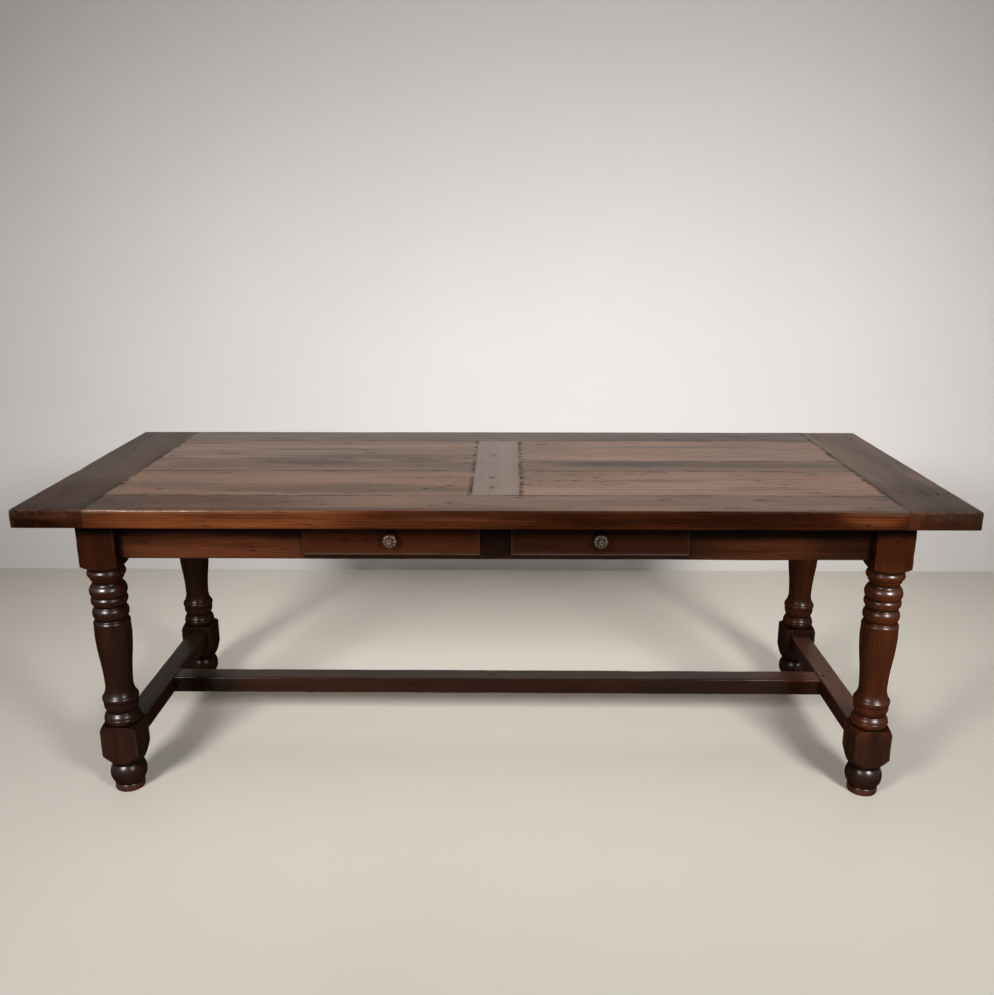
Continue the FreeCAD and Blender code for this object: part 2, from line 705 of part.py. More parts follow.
# Stretchers
def stretcher(label, plane, end, tenon):
    """A stretcher with a tenon at each end, drawn in elevation about its mid-width."""
    body = node(doc.addObject("PartDesign::Body", label), label)
    add(body, plane, [rect(f"-({end})", "stretcher_bottom", end, "stretcher_top")], "stretcher_width")
    axis = "x" if plane == "XZ_Plane" else "y"
    round_over(body, "stretcher_arris", lambda edge, box: runs_along(edge, axis))
    add(body, plane, [rect(f"-({end}) - {tenon}", "stretcher_tenon_bottom", f"{end} + {tenon}", "stretcher_tenon_top")],
        "stretcher_tenon_thickness")
    return body


end_stretcher = stretcher("left_end_stretcher", "YZ_Plane", "apron_end_y", "stretcher_tenon_length")
cut(end_stretcher, "YZ_Plane", [circle(f"{end} * (apron_end_y + stretcher_tenon_length / 2)", "stretcher_middle",
                                       "stretcher_peg_diameter + 2 * fit") for end in two_ends], "stretcher_width")
cut(end_stretcher, "YZ_Plane", [stretcher_mortise], "middle_tenon_length + end_gap", "stretcher_width / 2", "One side")
cut(end_stretcher, "XY_Plane", [circle("stretcher_width / 2 - middle_tenon_length / 2", "0",
                                       "stretcher_peg_diameter + 2 * fit")],
    "middle_peg_depth + end_gap", "stretcher_top", "One side")
place(end_stretcher, x="-leg_x")
mirrored(end_stretcher, "right_end_stretcher", across_x)

long_stretcher = stretcher("long_stretcher", "XZ_Plane", "long_end", "middle_tenon_length")
cut(long_stretcher, "XY_Plane", [circle(f"{end} * (long_end + middle_tenon_length / 2)", "0",
                                        "stretcher_peg_diameter + 2 * fit") for end in two_ends],
    "stretcher_height", "stretcher_top", "One side")

group("stretcher_pegs",
      [dowel(Vector(-x, 0, 0), f"{x} * (leg_x + leg_half)", f"{y} * (apron_end_y + stretcher_tenon_length / 2)",
             "stretcher_middle", "stretcher_peg_diameter", "stretcher_peg_depth") for x, y in four_corners]
      + [dowel(down, f"{x} * (long_end + middle_tenon_length / 2)", "0", "stretcher_top",
               "stretcher_peg_diameter", "middle_peg_depth") for x in two_ends])

# Runners, bearer and kickers between the front and back aprons
for drawer, centre in zip(("left_drawer", "right_drawer"), drawer_centres):
    for side, name in zip(two_ends, ("left", "right")):
        label = f"{drawer}_runner_{name}"
        runner = node(doc.addObject("PartDesign::Body", label), label)
        add(runner, "XZ_Plane", [runner_section(centre, side, "0")], "runner_length")

bearer = node(doc.addObject("PartDesign::Body", "centre_bearer"), "centre_bearer")
add(bearer, "XZ_Plane", [bearer_section("0")], "runner_length")
cut(bearer, "XY_Plane", [circle("muntin_shift + muntin_peg_shift", y, "muntin_peg_diameter + 2 * fit")
                         for y in muntin_pegs], "muntin_peg_bite + end_gap", "leg_height", "One side")


def kicker(centre, side):
    item = doc.addObject("Part::Box", "kicker")
    item.setExpression("Length", bound("kicker_width"))
    item.setExpression("Width", bound("2 * apron_inside"))
    item.setExpression("Height", bound("leg_height - opening_top"))
    inner = "opening_half - kicker_width" if side == 1 else "-opening_half"
    return place(item, f"{centre} + {inner}", "-apron_inside", "opening_top")


group("drawer_kickers", [kicker(centre, side) for centre in drawer_centres for side in two_ends])


# Drawers. Each piece is drawn about the middle of its drawer, with Y from the apron's face.
def tail(centre, room):
    """A dovetail in (Y, Z): narrow at the shoulder of the drawer's side, wide at its tip."""
    root = f"(tail_root / 2 + {room})"
    tip = f"(tail_tip / 2 + {room})"
    end = f"drawer_plug - tail_length - {room}"
    return [("drawer_plug", f"{centre} - {root}"), (end, f"{centre} - {tip}"),
            (end, f"{centre} + {tip}"), ("drawer_plug", f"{centre} + {root}")]


tail_centres = ("side_bottom + drawer_side_height / 4", "side_bottom + drawer_side_height * 3 / 4")


def drawer_front(label):
    body = node(doc.addObject("PartDesign::Body", label), label)
    add(body, "XZ_Plane", [rect("-drawer_width / 2", "drawer_bottom", "drawer_width / 2", "drawer_top")],
        "drawer_proud - stop_gap", "stop_gap", "One side")
    round_over(body, "drawer_edge_round", lambda edge, box: same(edge.BoundBox.YMax, box.YMin))
    add(body, "XZ_Plane", [rect("-plug_half", "side_bottom", "plug_half", "opening_top - drawer_head_gap")],
        "drawer_plug + stop_gap", "stop_gap", "One side", reverse=True)
    for side in two_ends:
        cut(body, "YZ_Plane", [tail(centre, "fit") for centre in tail_centres], "drawer_side_thickness + fit",
            f"{side} * plug_half", "One side", reverse=side < 0)
    cut(body, "XZ_Plane", [rect("-box_half - drawer_groove - fit", "panel_bottom - fit",
                                "box_half + drawer_groove + fit", "panel_top + fit")],
        "drawer_groove + fit", "-drawer_plug", "One side", reverse=True)
    cut(body, "XZ_Plane", [circle("0", "drawer_middle", "screw_diameter + 2 * fit")], "4 * drawer_plug")
    return body


def drawer_side(label, side):
    body = node(doc.addObject("PartDesign::Body", label), label)
    outline = [("drawer_plug", "side_bottom")]
    for centre in tail_centres:
        outline.extend(tail(centre, "0"))
    outline.extend([("drawer_plug", "side_top"), ("drawer_length", "side_top"), ("drawer_length", "side_bottom")])
    add(body, "YZ_Plane", [outline], "drawer_side_thickness")
    inner_face = f"{-side} * drawer_side_thickness / 2"
    cut(body, "YZ_Plane", [rect("drawer_plug - drawer_groove - fit", "panel_bottom - fit",
                                "drawer_length", "panel_top + fit")],
        "drawer_groove + fit", inner_face, "One side", reverse=side > 0)
    cut(body, "YZ_Plane", [rect("back_front - fit", "panel_top + fit", "back_rear + fit", "side_top")],
        "drawer_back_dado + fit", inner_face, "One side", reverse=side > 0)
    return body


def drawer_back(label):
    body = node(doc.addObject("PartDesign::Body", label), label)
    add(body, "XZ_Plane", [rect("-box_half - drawer_back_dado", "panel_top + fit",
                                "box_half + drawer_back_dado", "side_top - drawer_back_drop")],
        "drawer_back_thickness")
    return body


def drawer_panel(label):
    body = node(doc.addObject("PartDesign::Body", label), label)
    add(body, "XY_Plane", [rect("-box_half - drawer_groove", "drawer_plug - drawer_groove",
                                "box_half + drawer_groove", "drawer_length")], "drawer_bottom_thickness")
    return body


def turned_about_y(label, outline, arcs):
    """A round piece about the Y axis, from (Y, radius) corners."""
    body = node(doc.addObject("PartDesign::Body", label), label)
    revolution = body.newObject("PartDesign::Revolution", "revolution")
    sketch = profile(body, "YZ_Plane", outline, arcs)
    revolution.Profile = sketch
    revolution.ReferenceAxis = (sketch, ["H_Axis"])
    revolution.Angle = 360
    finish_feature(body, revolution, 0, True)
    return body


def drawer_knob(label):
    """A rosette: a domed head with a scalloped rim and a boss, on a waisted stem and a round rose."""
    outline = [
        ("0", "0"), ("0", "knob_rose_radius"), ("-knob_rose_height", "knob_rose_radius"),
        ("-knob_rose_height", "knob_stem_radius"), ("-knob_rim", "knob_stem_radius"), ("-knob_rim", "knob_radius"),
        ("-knob_shoulder", "knob_radius"), ("-knob_crown", "knob_boss_radius"),
        ("-knob_crown - knob_boss_height", "knob_dimple_radius"),
        ("-knob_crown - knob_boss_height + knob_dimple_depth", "0"),
    ]
    body = turned_about_y(label, outline, {6: (1, "knob_dome_bulge"), 7: (1, "knob_boss_bulge")})
    cut(body, "XZ_Plane", [circle("0", "0", "screw_diameter + 2 * fit")], "screw_bite + end_gap",
        None, "One side", reverse=True)
    half_petal = "180 / knob_petals"
    scallop = cut(body, "XZ_Plane", [circle(f"(knob_radius + fit) * sin({half_petal})",
                                            f"(knob_radius + fit) * cos({half_petal})", "knob_scallop_diameter")],
                  "knob_crown", "knob_rim - end_gap", "One side", reverse=True)
    before = volume_of(body)
    pattern = body.newObject("PartDesign::PolarPattern", "petals")
    pattern.Originals = [scallop]
    pattern.Axis = (scallop.Profile[0], ["N_Axis"])
    pattern.Angle = 360
    pattern.setExpression("Occurrences", bound("knob_petals"))
    body.Tip = pattern
    finish_feature(body, pattern, before, False)
    return body


def knob_screw(label):
    """A screw from inside the drawer: its head on the front's back, its shank into the knob's stem."""
    tip = "-drawer_proud - screw_bite"
    outline = [("drawer_plug + screw_head_height", "0"), (tip, "0"), (tip, "screw_diameter / 2"),
               ("drawer_plug", "screw_diameter / 2"), ("drawer_plug", "screw_head_diameter / 2"),
               ("drawer_plug + screw_head_height", "screw_head_diameter / 2")]
    return turned_about_y(label, outline, {})


for drawer, centre in zip(("left_drawer", "right_drawer"), drawer_centres):
    place(drawer_front(f"{drawer}_front"), centre, "-apron_face")
    for side, name in zip(two_ends, ("left", "right")):
        place(drawer_side(f"{drawer}_{name}_side", side),
              f"{centre} + {side} * (plug_half - drawer_side_thickness / 2)", "-apron_face")
    place(drawer_back(f"{drawer}_back"), centre, "back_front + drawer_back_thickness / 2 - apron_face")
    place(drawer_panel(f"{drawer}_bottom"), centre, "-apron_face", "panel_bottom + drawer_bottom_thickness / 2")
    place(drawer_knob(f"{drawer}_knob"), centre, "-apron_face - drawer_proud", "drawer_middle")
    place(knob_screw(f"{drawer}_knob_screw"), centre, "-apron_face", "drawer_middle")

doc.recompute()

# Every object has to be sound before anything is written
for item in doc.Objects:
    if "Invalid" in item.State or "Error" in item.State:
        raise RuntimeError(f"{item.Label} failed: {item.State}")
for item in nodes:
    if item.Shape.isNull() or not item.Shape.isValid() or not item.Shape.Solids:
        raise RuntimeError(f"{item.Label} has no sound shape")

os.makedirs("parts", exist_ok=True)
for item in nodes:
    item.Shape.exportStep(f"parts/{item.Label}.step")
    print(item.Label, len(item.Shape.Solids), "solids", round(item.Shape.Volume / 1000), "cm3")
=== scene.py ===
# Refectory table: worn boards, turned legs, wood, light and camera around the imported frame.
# Metres, +Z up, the drawers open towards -Y.
import math
import bmesh
import bpy
from mathutils import Matrix, Vector, noise


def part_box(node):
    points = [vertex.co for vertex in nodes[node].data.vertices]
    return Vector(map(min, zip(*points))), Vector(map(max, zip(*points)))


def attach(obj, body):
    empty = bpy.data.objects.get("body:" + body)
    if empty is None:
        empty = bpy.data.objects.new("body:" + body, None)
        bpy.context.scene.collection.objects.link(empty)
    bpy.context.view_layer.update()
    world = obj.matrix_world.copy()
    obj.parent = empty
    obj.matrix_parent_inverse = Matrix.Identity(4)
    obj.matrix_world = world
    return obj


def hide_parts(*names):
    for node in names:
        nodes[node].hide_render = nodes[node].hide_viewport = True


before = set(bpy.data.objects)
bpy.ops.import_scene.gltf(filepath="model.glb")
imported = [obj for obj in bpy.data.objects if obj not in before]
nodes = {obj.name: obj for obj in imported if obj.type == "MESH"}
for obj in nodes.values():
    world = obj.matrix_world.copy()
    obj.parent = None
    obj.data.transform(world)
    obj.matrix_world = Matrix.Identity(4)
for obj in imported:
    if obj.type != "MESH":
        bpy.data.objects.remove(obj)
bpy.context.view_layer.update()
scene = bpy.context.scene
scene.view_settings.view_transform = "Standard"
drawers = ("left_drawer", "right_drawer")
print("frame loaded:", len(nodes), "nodes")


# Shader building blocks. A socket knows its own tree.
def putNode(tree, kind, settings=None, values=None, links=None):
    item = tree.nodes.new(kind)
    for key, value in (settings or {}).items():
        setattr(item, key, value)
    for key, value in (values or {}).items():
        item.inputs[key].default_value = value
    for key, socket in (links or {}).items():
        tree.links.new(socket, item.inputs[key])
    return item


def outOf(kind, links, values=None, settings=None):
    tree = next(iter(links.values())).id_data
    return putNode(tree, kind, settings, values, links).outputs[0]


def give(socket, value):     # a number, a colour or another socket
    if isinstance(value, (int, float)):
        socket.default_value = value
    elif isinstance(value, tuple):
        socket.default_value = (*value, 1)
    else:
        socket.id_data.links.new(value, socket)


def feed(shader, values):
    for key, value in values.items():
        give(shader.inputs[key], value)


def calc(operation, first, second=0.5, clamp=False):
    item = putNode(first.id_data, "ShaderNodeMath", {"operation": operation, "use_clamp": clamp})
    feed(item, {0: first, 1: second})
    return item.outputs[0]


def plus(first, second, clamp=False):
    return calc("ADD", first, second, clamp)


def minus(first, second=0.5):     # noise lies round 0.5
    return calc("SUBTRACT", first, second)


def times(first, second, clamp=False):
    return calc("MULTIPLY", first, second, clamp)


def spread(value, low, high, outLow=0.0, outHigh=1.0):
    return outOf("ShaderNodeMapRange", {0: value}, {1: low, 2: high, 3: outLow, 4: outHigh},
                 {"interpolation_type": "SMOOTHSTEP"})


def blendColour(factor, first, second, mode="MIX"):
    tree = next(value.id_data for value in (factor, first, second) if isinstance(value, bpy.types.NodeSocket))
    item = putNode(tree, "ShaderNodeMix", {"data_type": "RGBA", "blend_type": mode})
    feed(item, {0: factor, 6: first, 7: second})     # the inputs and the output for colours
    return item.outputs[2]


def stretched(vector, scales):
    return outOf("ShaderNodeVectorMath", {0: vector}, {1: scales}, {"operation": "MULTIPLY"})


def lengthOf(vector):
    item = putNode(vector.id_data, "ShaderNodeVectorMath", {"operation": "LENGTH"}, None, {0: vector})
    return item.outputs["Value"]


def cloud(vector, along, across, detail, rough=0.55):
    place = stretched(vector, (along, across, across))
    values = {"Scale": 1.0, "Detail": detail, "Roughness": rough}
    return outOf("ShaderNodeTexNoise", {"Vector": place}, values)


def greyOf(value):
    return outOf("ShaderNodeCombineColor", {0: value, 1: value, 2: value})


def pieceMark(tree, name):
    return putNode(tree, "ShaderNodeAttribute", {"attribute_name": name}).outputs["Fac"]


def roughened(height, strength, distance):
    return outOf("ShaderNodeBump", {"Height": height}, {"Strength": strength, "Distance": distance})


def newMaterial(name):
    material = bpy.data.materials.new(name)
    material.use_nodes = True
    tree = material.node_tree
    tree.nodes.clear()
    output = putNode(tree, "ShaderNodeOutputMaterial")
    shader = putNode(tree, "ShaderNodeBsdfPrincipled")
    give(output.inputs[0], shader.outputs[0])
    spot = putNode(tree, "ShaderNodeTexCoord").outputs["Object"]
    return material, shader, spot


# Old oak. Grain runs along the pattern's own X, and Mapping turns it to the board's length.
grainTurn = {"x": (0, 0, 0), "y": (0, 0, -math.pi / 2), "z": (0, math.pi / 2, 0)}
oakLayers = {     # waves per metre along and across the grain, detail, roughness
    "patches": (1.6, 9.0, 4.0), "bands": (2.4, 34.0, 5.0, 0.65), "fibre": (9.0, 330.0, 4.0, 0.65),
    "pores": (48.0, 1300.0, 1.0), "flecks": (15.0, 75.0, 2.0), "checks": (9.0, 42.0, 2.0),
    "seams": (2.6, 24.0, 3.0, 0.6), "gaps": (7.0, 16.0, 2.0), "scuffs": (11.0, 70.0, 4.0, 0.7),
}
oakMarks = {     # between which levels a layer shows as a mark
    "bands": (0.58, 0.74), "pores": (0.60, 0.72), "checks": (0.53, 0.59), "flecks": (0.66, 0.72),
    "patches": (0.55, 0.45), "gaps": (0.56, 0.62),
}
figure = {     # growth rings 7.5 mm apart
    "kind": {"wave_type": "RINGS", "rings_direction": "X"}, "stretch": (0.06, 1.0, 1.0),
    "values": {"Scale": 0.314 / 0.0075, "Distortion": 5.0, "Detail": 2.0, "Detail Scale": 0.35},
}
oakSkin = {
    "fibreGloss": 0.4, "bandGloss": 0.6, "glossLevels": (0.30, 0.70), "dirtDulls": 0.35, "edgeGrime": 0.35,
    "ringRise": 0.4, "crackDepth": 1.5, "relief": 0.0006, "mottle": (0.55, 1.40), "stainEdge": (1.0, 0.4),
    "splitLevel": 0.52, "splitWidth": (0.010, 0.003), "checkedEnds": (0.2, 0.6),
    "breakScales": (8.0, 8.0, 5.0, 0.7), "breakShares": (0.15, 1.0),
    "filmIor": 3.5,     # a strong film at low weight stays clear of glancing haze
}
oldOak = {     # each wood adds its own shift of the pattern, pale and dark tone
    "grain": "x",
    "edgePale": (0.0375, 0.0088, 0.0025), "edgeDark": (0.0125, 0.0031, 0.0012),
    "streak": (0.030, 0.017, 0.012), "wornColour": (0.19, 0.10, 0.057), "grimeColour": (0.010, 0.006, 0.005),
    "patchShow": 2.2, "bandShow": 2.8, "figureShow": 0.25, "fibreShow": 1.0,     # shares of the tone
    "streakShow": 0.6, "dashShow": 0.8, "crackShow": 0.8, "poreShow": 0.5, "wornShow": 0.6, "grimeShow": 1.0,
    "rough": (0.34, 0.58), "shine": 0.24, "coat": 0.0, "wornCoat": 0.10, "crestCoat": 0.0, "coatRough": 0.14,
    "bump": 0.35, "wornPatch": (0.44, 0.62), "breaks": (0.40, 0.60), "stains": [],
}


def tones(shift, pale, dark, **others):
    return {"shift": shift, "pale": pale, "dark": dark, **others}


# A patch of colour: a stain, or painted shade where a list holds shade.
def addStain(spot, ragged, mottle, colour, stain):
    at, size, show, stainColour = stain
    offset = outOf("ShaderNodeVectorMath", {0: spot}, {1: at}, {"operation": "SUBTRACT"})
    reach = lengthOf(stretched(offset, tuple(1 / part for part in size)))
    uneven = plus(reach, minus(ragged))
    mask = times(spread(uneven, *oakSkin["stainEdge"]), show)
    return blendColour(mask, colour, blendColour(1.0, stainColour, mottle, "MULTIPLY"))


def makeOak(name, **changes):
    look = {**oldOak, **changes}
    material, shader, spot = newMaterial(name)
    tree = material.node_tree
    grain = outOf("ShaderNodeMapping", {"Vector": spot},
                  {"Location": look["shift"], "Rotation": grainTurn[look["grain"]]})
    layers = {kind: cloud(grain, *scales) for kind, scales in oakLayers.items()}
    bands, fibre = layers["bands"], layers["fibre"]
    ringPlace = stretched(grain, figure["stretch"])
    wave = putNode(tree, "ShaderNodeTexWave", figure["kind"], figure["values"], {"Vector": ringPlace})
    rings = wave.outputs["Fac"]

    def marksOf(kind):
        return spread(layers[kind], *oakMarks[kind])

    tone = 0.5
    for layer, share in ((layers["patches"], "patchShow"), (bands, "bandShow"), (rings, "figureShow"),
                         (fibre, "fibreShow")):
        tone = plus(times(minus(layer), look[share]), tone)
    tone = plus(tone, 0.0, clamp=True)
    edgeFace = pieceMark(tree, "edgeFace")
    colour = blendColour(tone, look["dark"], look["pale"])
    colour = blendColour(edgeFace, colour, blendColour(tone, look["edgeDark"], look["edgePale"]))
    streaks = times(marksOf("bands"), look["streakShow"])
    colour = blendColour(streaks, colour, look["streak"])
    mottle = greyOf(spread(tone, 0.0, 1.0, *oakSkin["mottle"]))
    for stain in look["stains"]:
        colour = addStain(spot, bands, mottle, colour, stain)
    pores = times(marksOf("pores"), look["poreShow"])
    colour = blendColour(pores, colour, look["streak"])
    atEnds = times(spread(pieceMark(tree, "ends"), *oakSkin["checkedEnds"]), marksOf("checks"))
    scattered = times(marksOf("flecks"), marksOf("patches"))
    dashes = times(calc("MAXIMUM", atEnds, scattered), look["dashShow"])
    colour = blendColour(dashes, colour, look["grimeColour"])
    # Thin splits follow one level
    offLevel = calc("ABSOLUTE", minus(layers["seams"], oakSkin["splitLevel"]))
    splits = times(spread(offLevel, *oakSkin["splitWidth"]), marksOf("gaps"))
    cracks = times(splits, look["crackShow"])
    colour = blendColour(cracks, colour, look["grimeColour"])
    # The wear mark is partly painted highlight on the rails' top arris and on the drawer fronts' lower and
    # end edges.
    worn = times(pieceMark(tree, "wear"), spread(layers["scuffs"], *look["wornPatch"]))
    colour = blendColour(times(worn, look["wornShow"]), colour, look["wornColour"])
    breaks = spread(cloud(spot, *oakSkin["breakScales"]), *look["breaks"], *oakSkin["breakShares"])
    # The grime mark is also painted shade on the front apron's strip under the drawer fronts and on leg
    # blocks beside an apron. It also darkens the front apron towards the legs.
    caught = times(pieceMark(tree, "grime"), breaks)
    caught = times(caught, spread(edgeFace, 0.0, 1.0, 1.0, oakSkin["edgeGrime"]))
    grime = times(caught, look["grimeShow"], clamp=True)
    colour = blendColour(grime, colour, look["grimeColour"])
    gloss = plus(times(fibre, oakSkin["fibreGloss"]), times(bands, oakSkin["bandGloss"]))
    dirt = calc("MAXIMUM", grime, calc("MAXIMUM", cracks, dashes))
    dull = times(dirt, oakSkin["dirtDulls"])
    height = minus(plus(fibre, times(rings, oakSkin["ringRise"])), pores)
    height = minus(height, times(plus(cracks, dashes), oakSkin["crackDepth"]))
    polish = plus(times(worn, look["wornCoat"]), look["coat"])
    polish = plus(polish, times(pieceMark(tree, "gloss"), look["crestCoat"]))
    feed(shader, {
        "Base Color": colour, "Specular IOR Level": spread(edgeFace, 0.0, 1.0, look["shine"], 0.0),
        "Roughness": plus(spread(gloss, *oakSkin["glossLevels"], *look["rough"]), dull, clamp=True),
        "Normal": roughened(height, look["bump"], oakSkin["relief"]), "Coat Weight": polish,
        "Coat Roughness": look["coatRough"], "Coat IOR": oakSkin["filmIor"]})
    return material


# Mesh building blocks
def addPiece(name, points, faces, marks, sharpAngle=42):
    mesh = bpy.data.meshes.new(name)
    mesh.from_pydata(points, [], faces)
    for mark, values in marks.items():
        mesh.attributes.new(mark, "FLOAT", "POINT").data.foreach_set("value", values)
    shell = bmesh.new()
    shell.from_mesh(mesh)
    bmesh.ops.recalc_face_normals(shell, faces=shell.faces)
    shell.to_mesh(mesh)
    shell.free()
    mesh.polygons.foreach_set("use_smooth", [True] * len(mesh.polygons))
    mesh.set_sharp_from_angle(angle=math.radians(sharpAngle))
    return linked(name, mesh)


def linked(name, data):
    item = bpy.data.objects.new(name, data)
    scene.collection.objects.link(item)
    return item


def dress(piece, material, slot, body, *replaced):
    if not piece.data.materials:
        piece.data.materials.append(material)
    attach(piece, body)
    if replaced:
        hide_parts(*replaced)


def tubeFaces(rows, ringSize):
    faces = []
    for row in range(rows - 1):
        for step in range(ringSize):
            one, two = row * ringSize + step, row * ringSize + (step + 1) % ringSize
            faces.append((one, two, two + ringSize, one + ringSize))
    return faces


def capFaces(row, ringSize, middle):
    first = row * ringSize
    return [(first + step, first + (step + 1) % ringSize, middle) for step in range(ringSize)]


seedGaps = (7.31, 3.17)     # how far apart seeds lie in the noise


def ripple(along, seed, perMetre):
    return 0.5 + 0.5 * noise.noise(Vector((along * perMetre, *(seed * gap for gap in seedGaps))))


def within(value):
    return min(1.0, max(0.0, value))


# A board: a section with its own arris at each corner, drawn along the grain and worn as it goes.
# Sides are named for the section's axes: low and high A, low and high B.
boardShape = {
    "radii": (0.001, 0.001, 0.001, 0.001),     # corners lowA-lowB, highA-lowB, highA-highB, lowA-highB
    "cornerMarks": ("grime", "grime", "grime", "grime"),
    "endRound": 0.001, "endMark": "grime", "endInset": (1, 1, 1, 1), "endMarkAt": 0.0,
    "wave": (0.0, 0.0, 0.0, 0.0), "wavePerMetre": 3.5,     # how far lowA, highA, lowB, highB wander inwards
    "fine": (0.75, 0.5, 30),     # the wave's share: middle, swing and waves per metre
    "chip": 0.0, "chipPerMetre": 9, "chipShare": (1, 1, 1, 1), "chipGaps": (5.1, 2.3),
    "chipDents": (0.2, 1.5), "fineChips": (0.25, 4.3),     # level and gain; share and pitch
    "capRim": 0.0,
    "wearFade": (9.0, 10.0, 1.0),     # wear, on the rails' top arris partly painted highlight, is whole up to the first place and falls to a share by the second
    "edgeFaces": (0, 0, 0, 0), "endFaces": (0, 0), "endChecks": 0.0, "checkReach": 0.010, "capGrime": 0.15,
    "step": 0.010, "flatStep": 0.030, "arcSteps": 5, "roundSteps": 7, "markReach": 0.0016, "seed": 1,
    "besideArris": (0.0025, 0.007), "clearOfArris": 0.008,     # rows of points on a flat
}
cornerTurns = (math.pi, 1.5 * math.pi, 0, 0.5 * math.pi)     # where each corner's arc starts
cornerSigns = ((-1, -1), (1, -1), (1, 1), (-1, 1))
axisOrder = {"x": (0, 1, 2), "y": (1, 0, 2)}     # along, A, B


def sectionLayout(spanA, spanB, shape):
    layout = []     # per point: corner, turn on its arc or None, share of the flat after it, mark strength
    for corner, span in enumerate((spanA, spanB, spanA, spanB)):
        for step in range(shape["arcSteps"]):
            turn = cornerTurns[corner] + 0.5 * math.pi * step / (shape["arcSteps"] - 1)
            layout.append((corner, turn, None, 1.0))
        flat = span - shape["radii"][corner] - shape["radii"][(corner + 1) % 4]
        offsets = [offset for offset in shape["besideArris"] if offset < flat * 0.4]
        count = max(1, round((flat - 0.02) / shape["flatStep"]))
        middle = [flat * share / (count + 1) for share in range(1, count + 1)]
        middle = [place for place in middle if min(place, flat - place) > shape["clearOfArris"]]
        for place in sorted(set(offsets + middle + [flat - offset for offset in offsets])):
            nearest = min(place, flat - place)
            layout.append((corner, None, place / flat, math.exp(-nearest / shape["markReach"])))
    return layout


def sectionPoints(layout, box, shape, inset):
    lowA, highA, lowB, highB = (edge + sign * inset * share
                                for edge, sign, share in zip(box, (1, -1, 1, -1), shape["endInset"]))
    arcs = []
    for corner, (signA, signB) in enumerate(cornerSigns):
        radius = max(shape["radii"][corner] - 0.5 * inset, 0.0002)
        arcs.append(((highA - radius) if signA > 0 else (lowA + radius),
                     (highB - radius) if signB > 0 else (lowB + radius), radius))
    for corner, turn, share, strength in layout:
        centreA, centreB, radius = arcs[corner]
        if turn is not None:
            outA, outB = math.cos(turn), math.sin(turn)
            yield centreA + radius * outA, centreB + radius * outB, outA, outB
            continue
        last = cornerTurns[corner] + 0.5 * math.pi
        nextA, nextB, nextRadius = arcs[(corner + 1) % 4]
        outA, outB = round(math.cos(last)), round(math.sin(last))
        startA, startB = centreA + radius * outA, centreB + radius * outB
        endA, endB = nextA + nextRadius * outA, nextB + nextRadius * outB
        yield startA + (endA - startA) * share, startB + (endB - startB) * share, outA, outB


def boardStations(start, end, shape):
    rounding, last = shape["endRound"], shape["roundSteps"] - 1
    turns = [0.5 * math.pi * step / last for step in range(last + 1)]
    ends = [(rounding * (1 - math.cos(turn)), rounding * (1 - math.sin(turn))) for turn in turns]
    inner = end - start - 2 * rounding
    count = max(2, round(inner / shape["step"]))
    stations = [(start + depth, inset, 1.0) for depth, inset in ends]     # place, inset, share of marks
    stations += [(start + rounding + inner * step / count, 0.0, 1.0) for step in range(1, count)]
    stations += [(end - depth, inset, 1.0) for depth, inset in reversed(ends)]
    if shape["capRim"]:
        capInset = rounding + shape["capRim"]
        stations = [(start, capInset, 0.0)] + stations + [(end, capInset, 0.0)]
    return stations


def dentAt(along, corner, shape):
    perCorner, perSeed = shape["chipGaps"]
    level, gain = shape["chipDents"]
    share, pitch = shape["fineChips"]
    where = Vector((along * shape["chipPerMetre"], corner * perCorner, shape["seed"] * perSeed))
    dent = max(0.0, noise.noise(where) - level) * gain + share * abs(noise.noise(where * pitch))
    return dent * shape["chipShare"][corner]


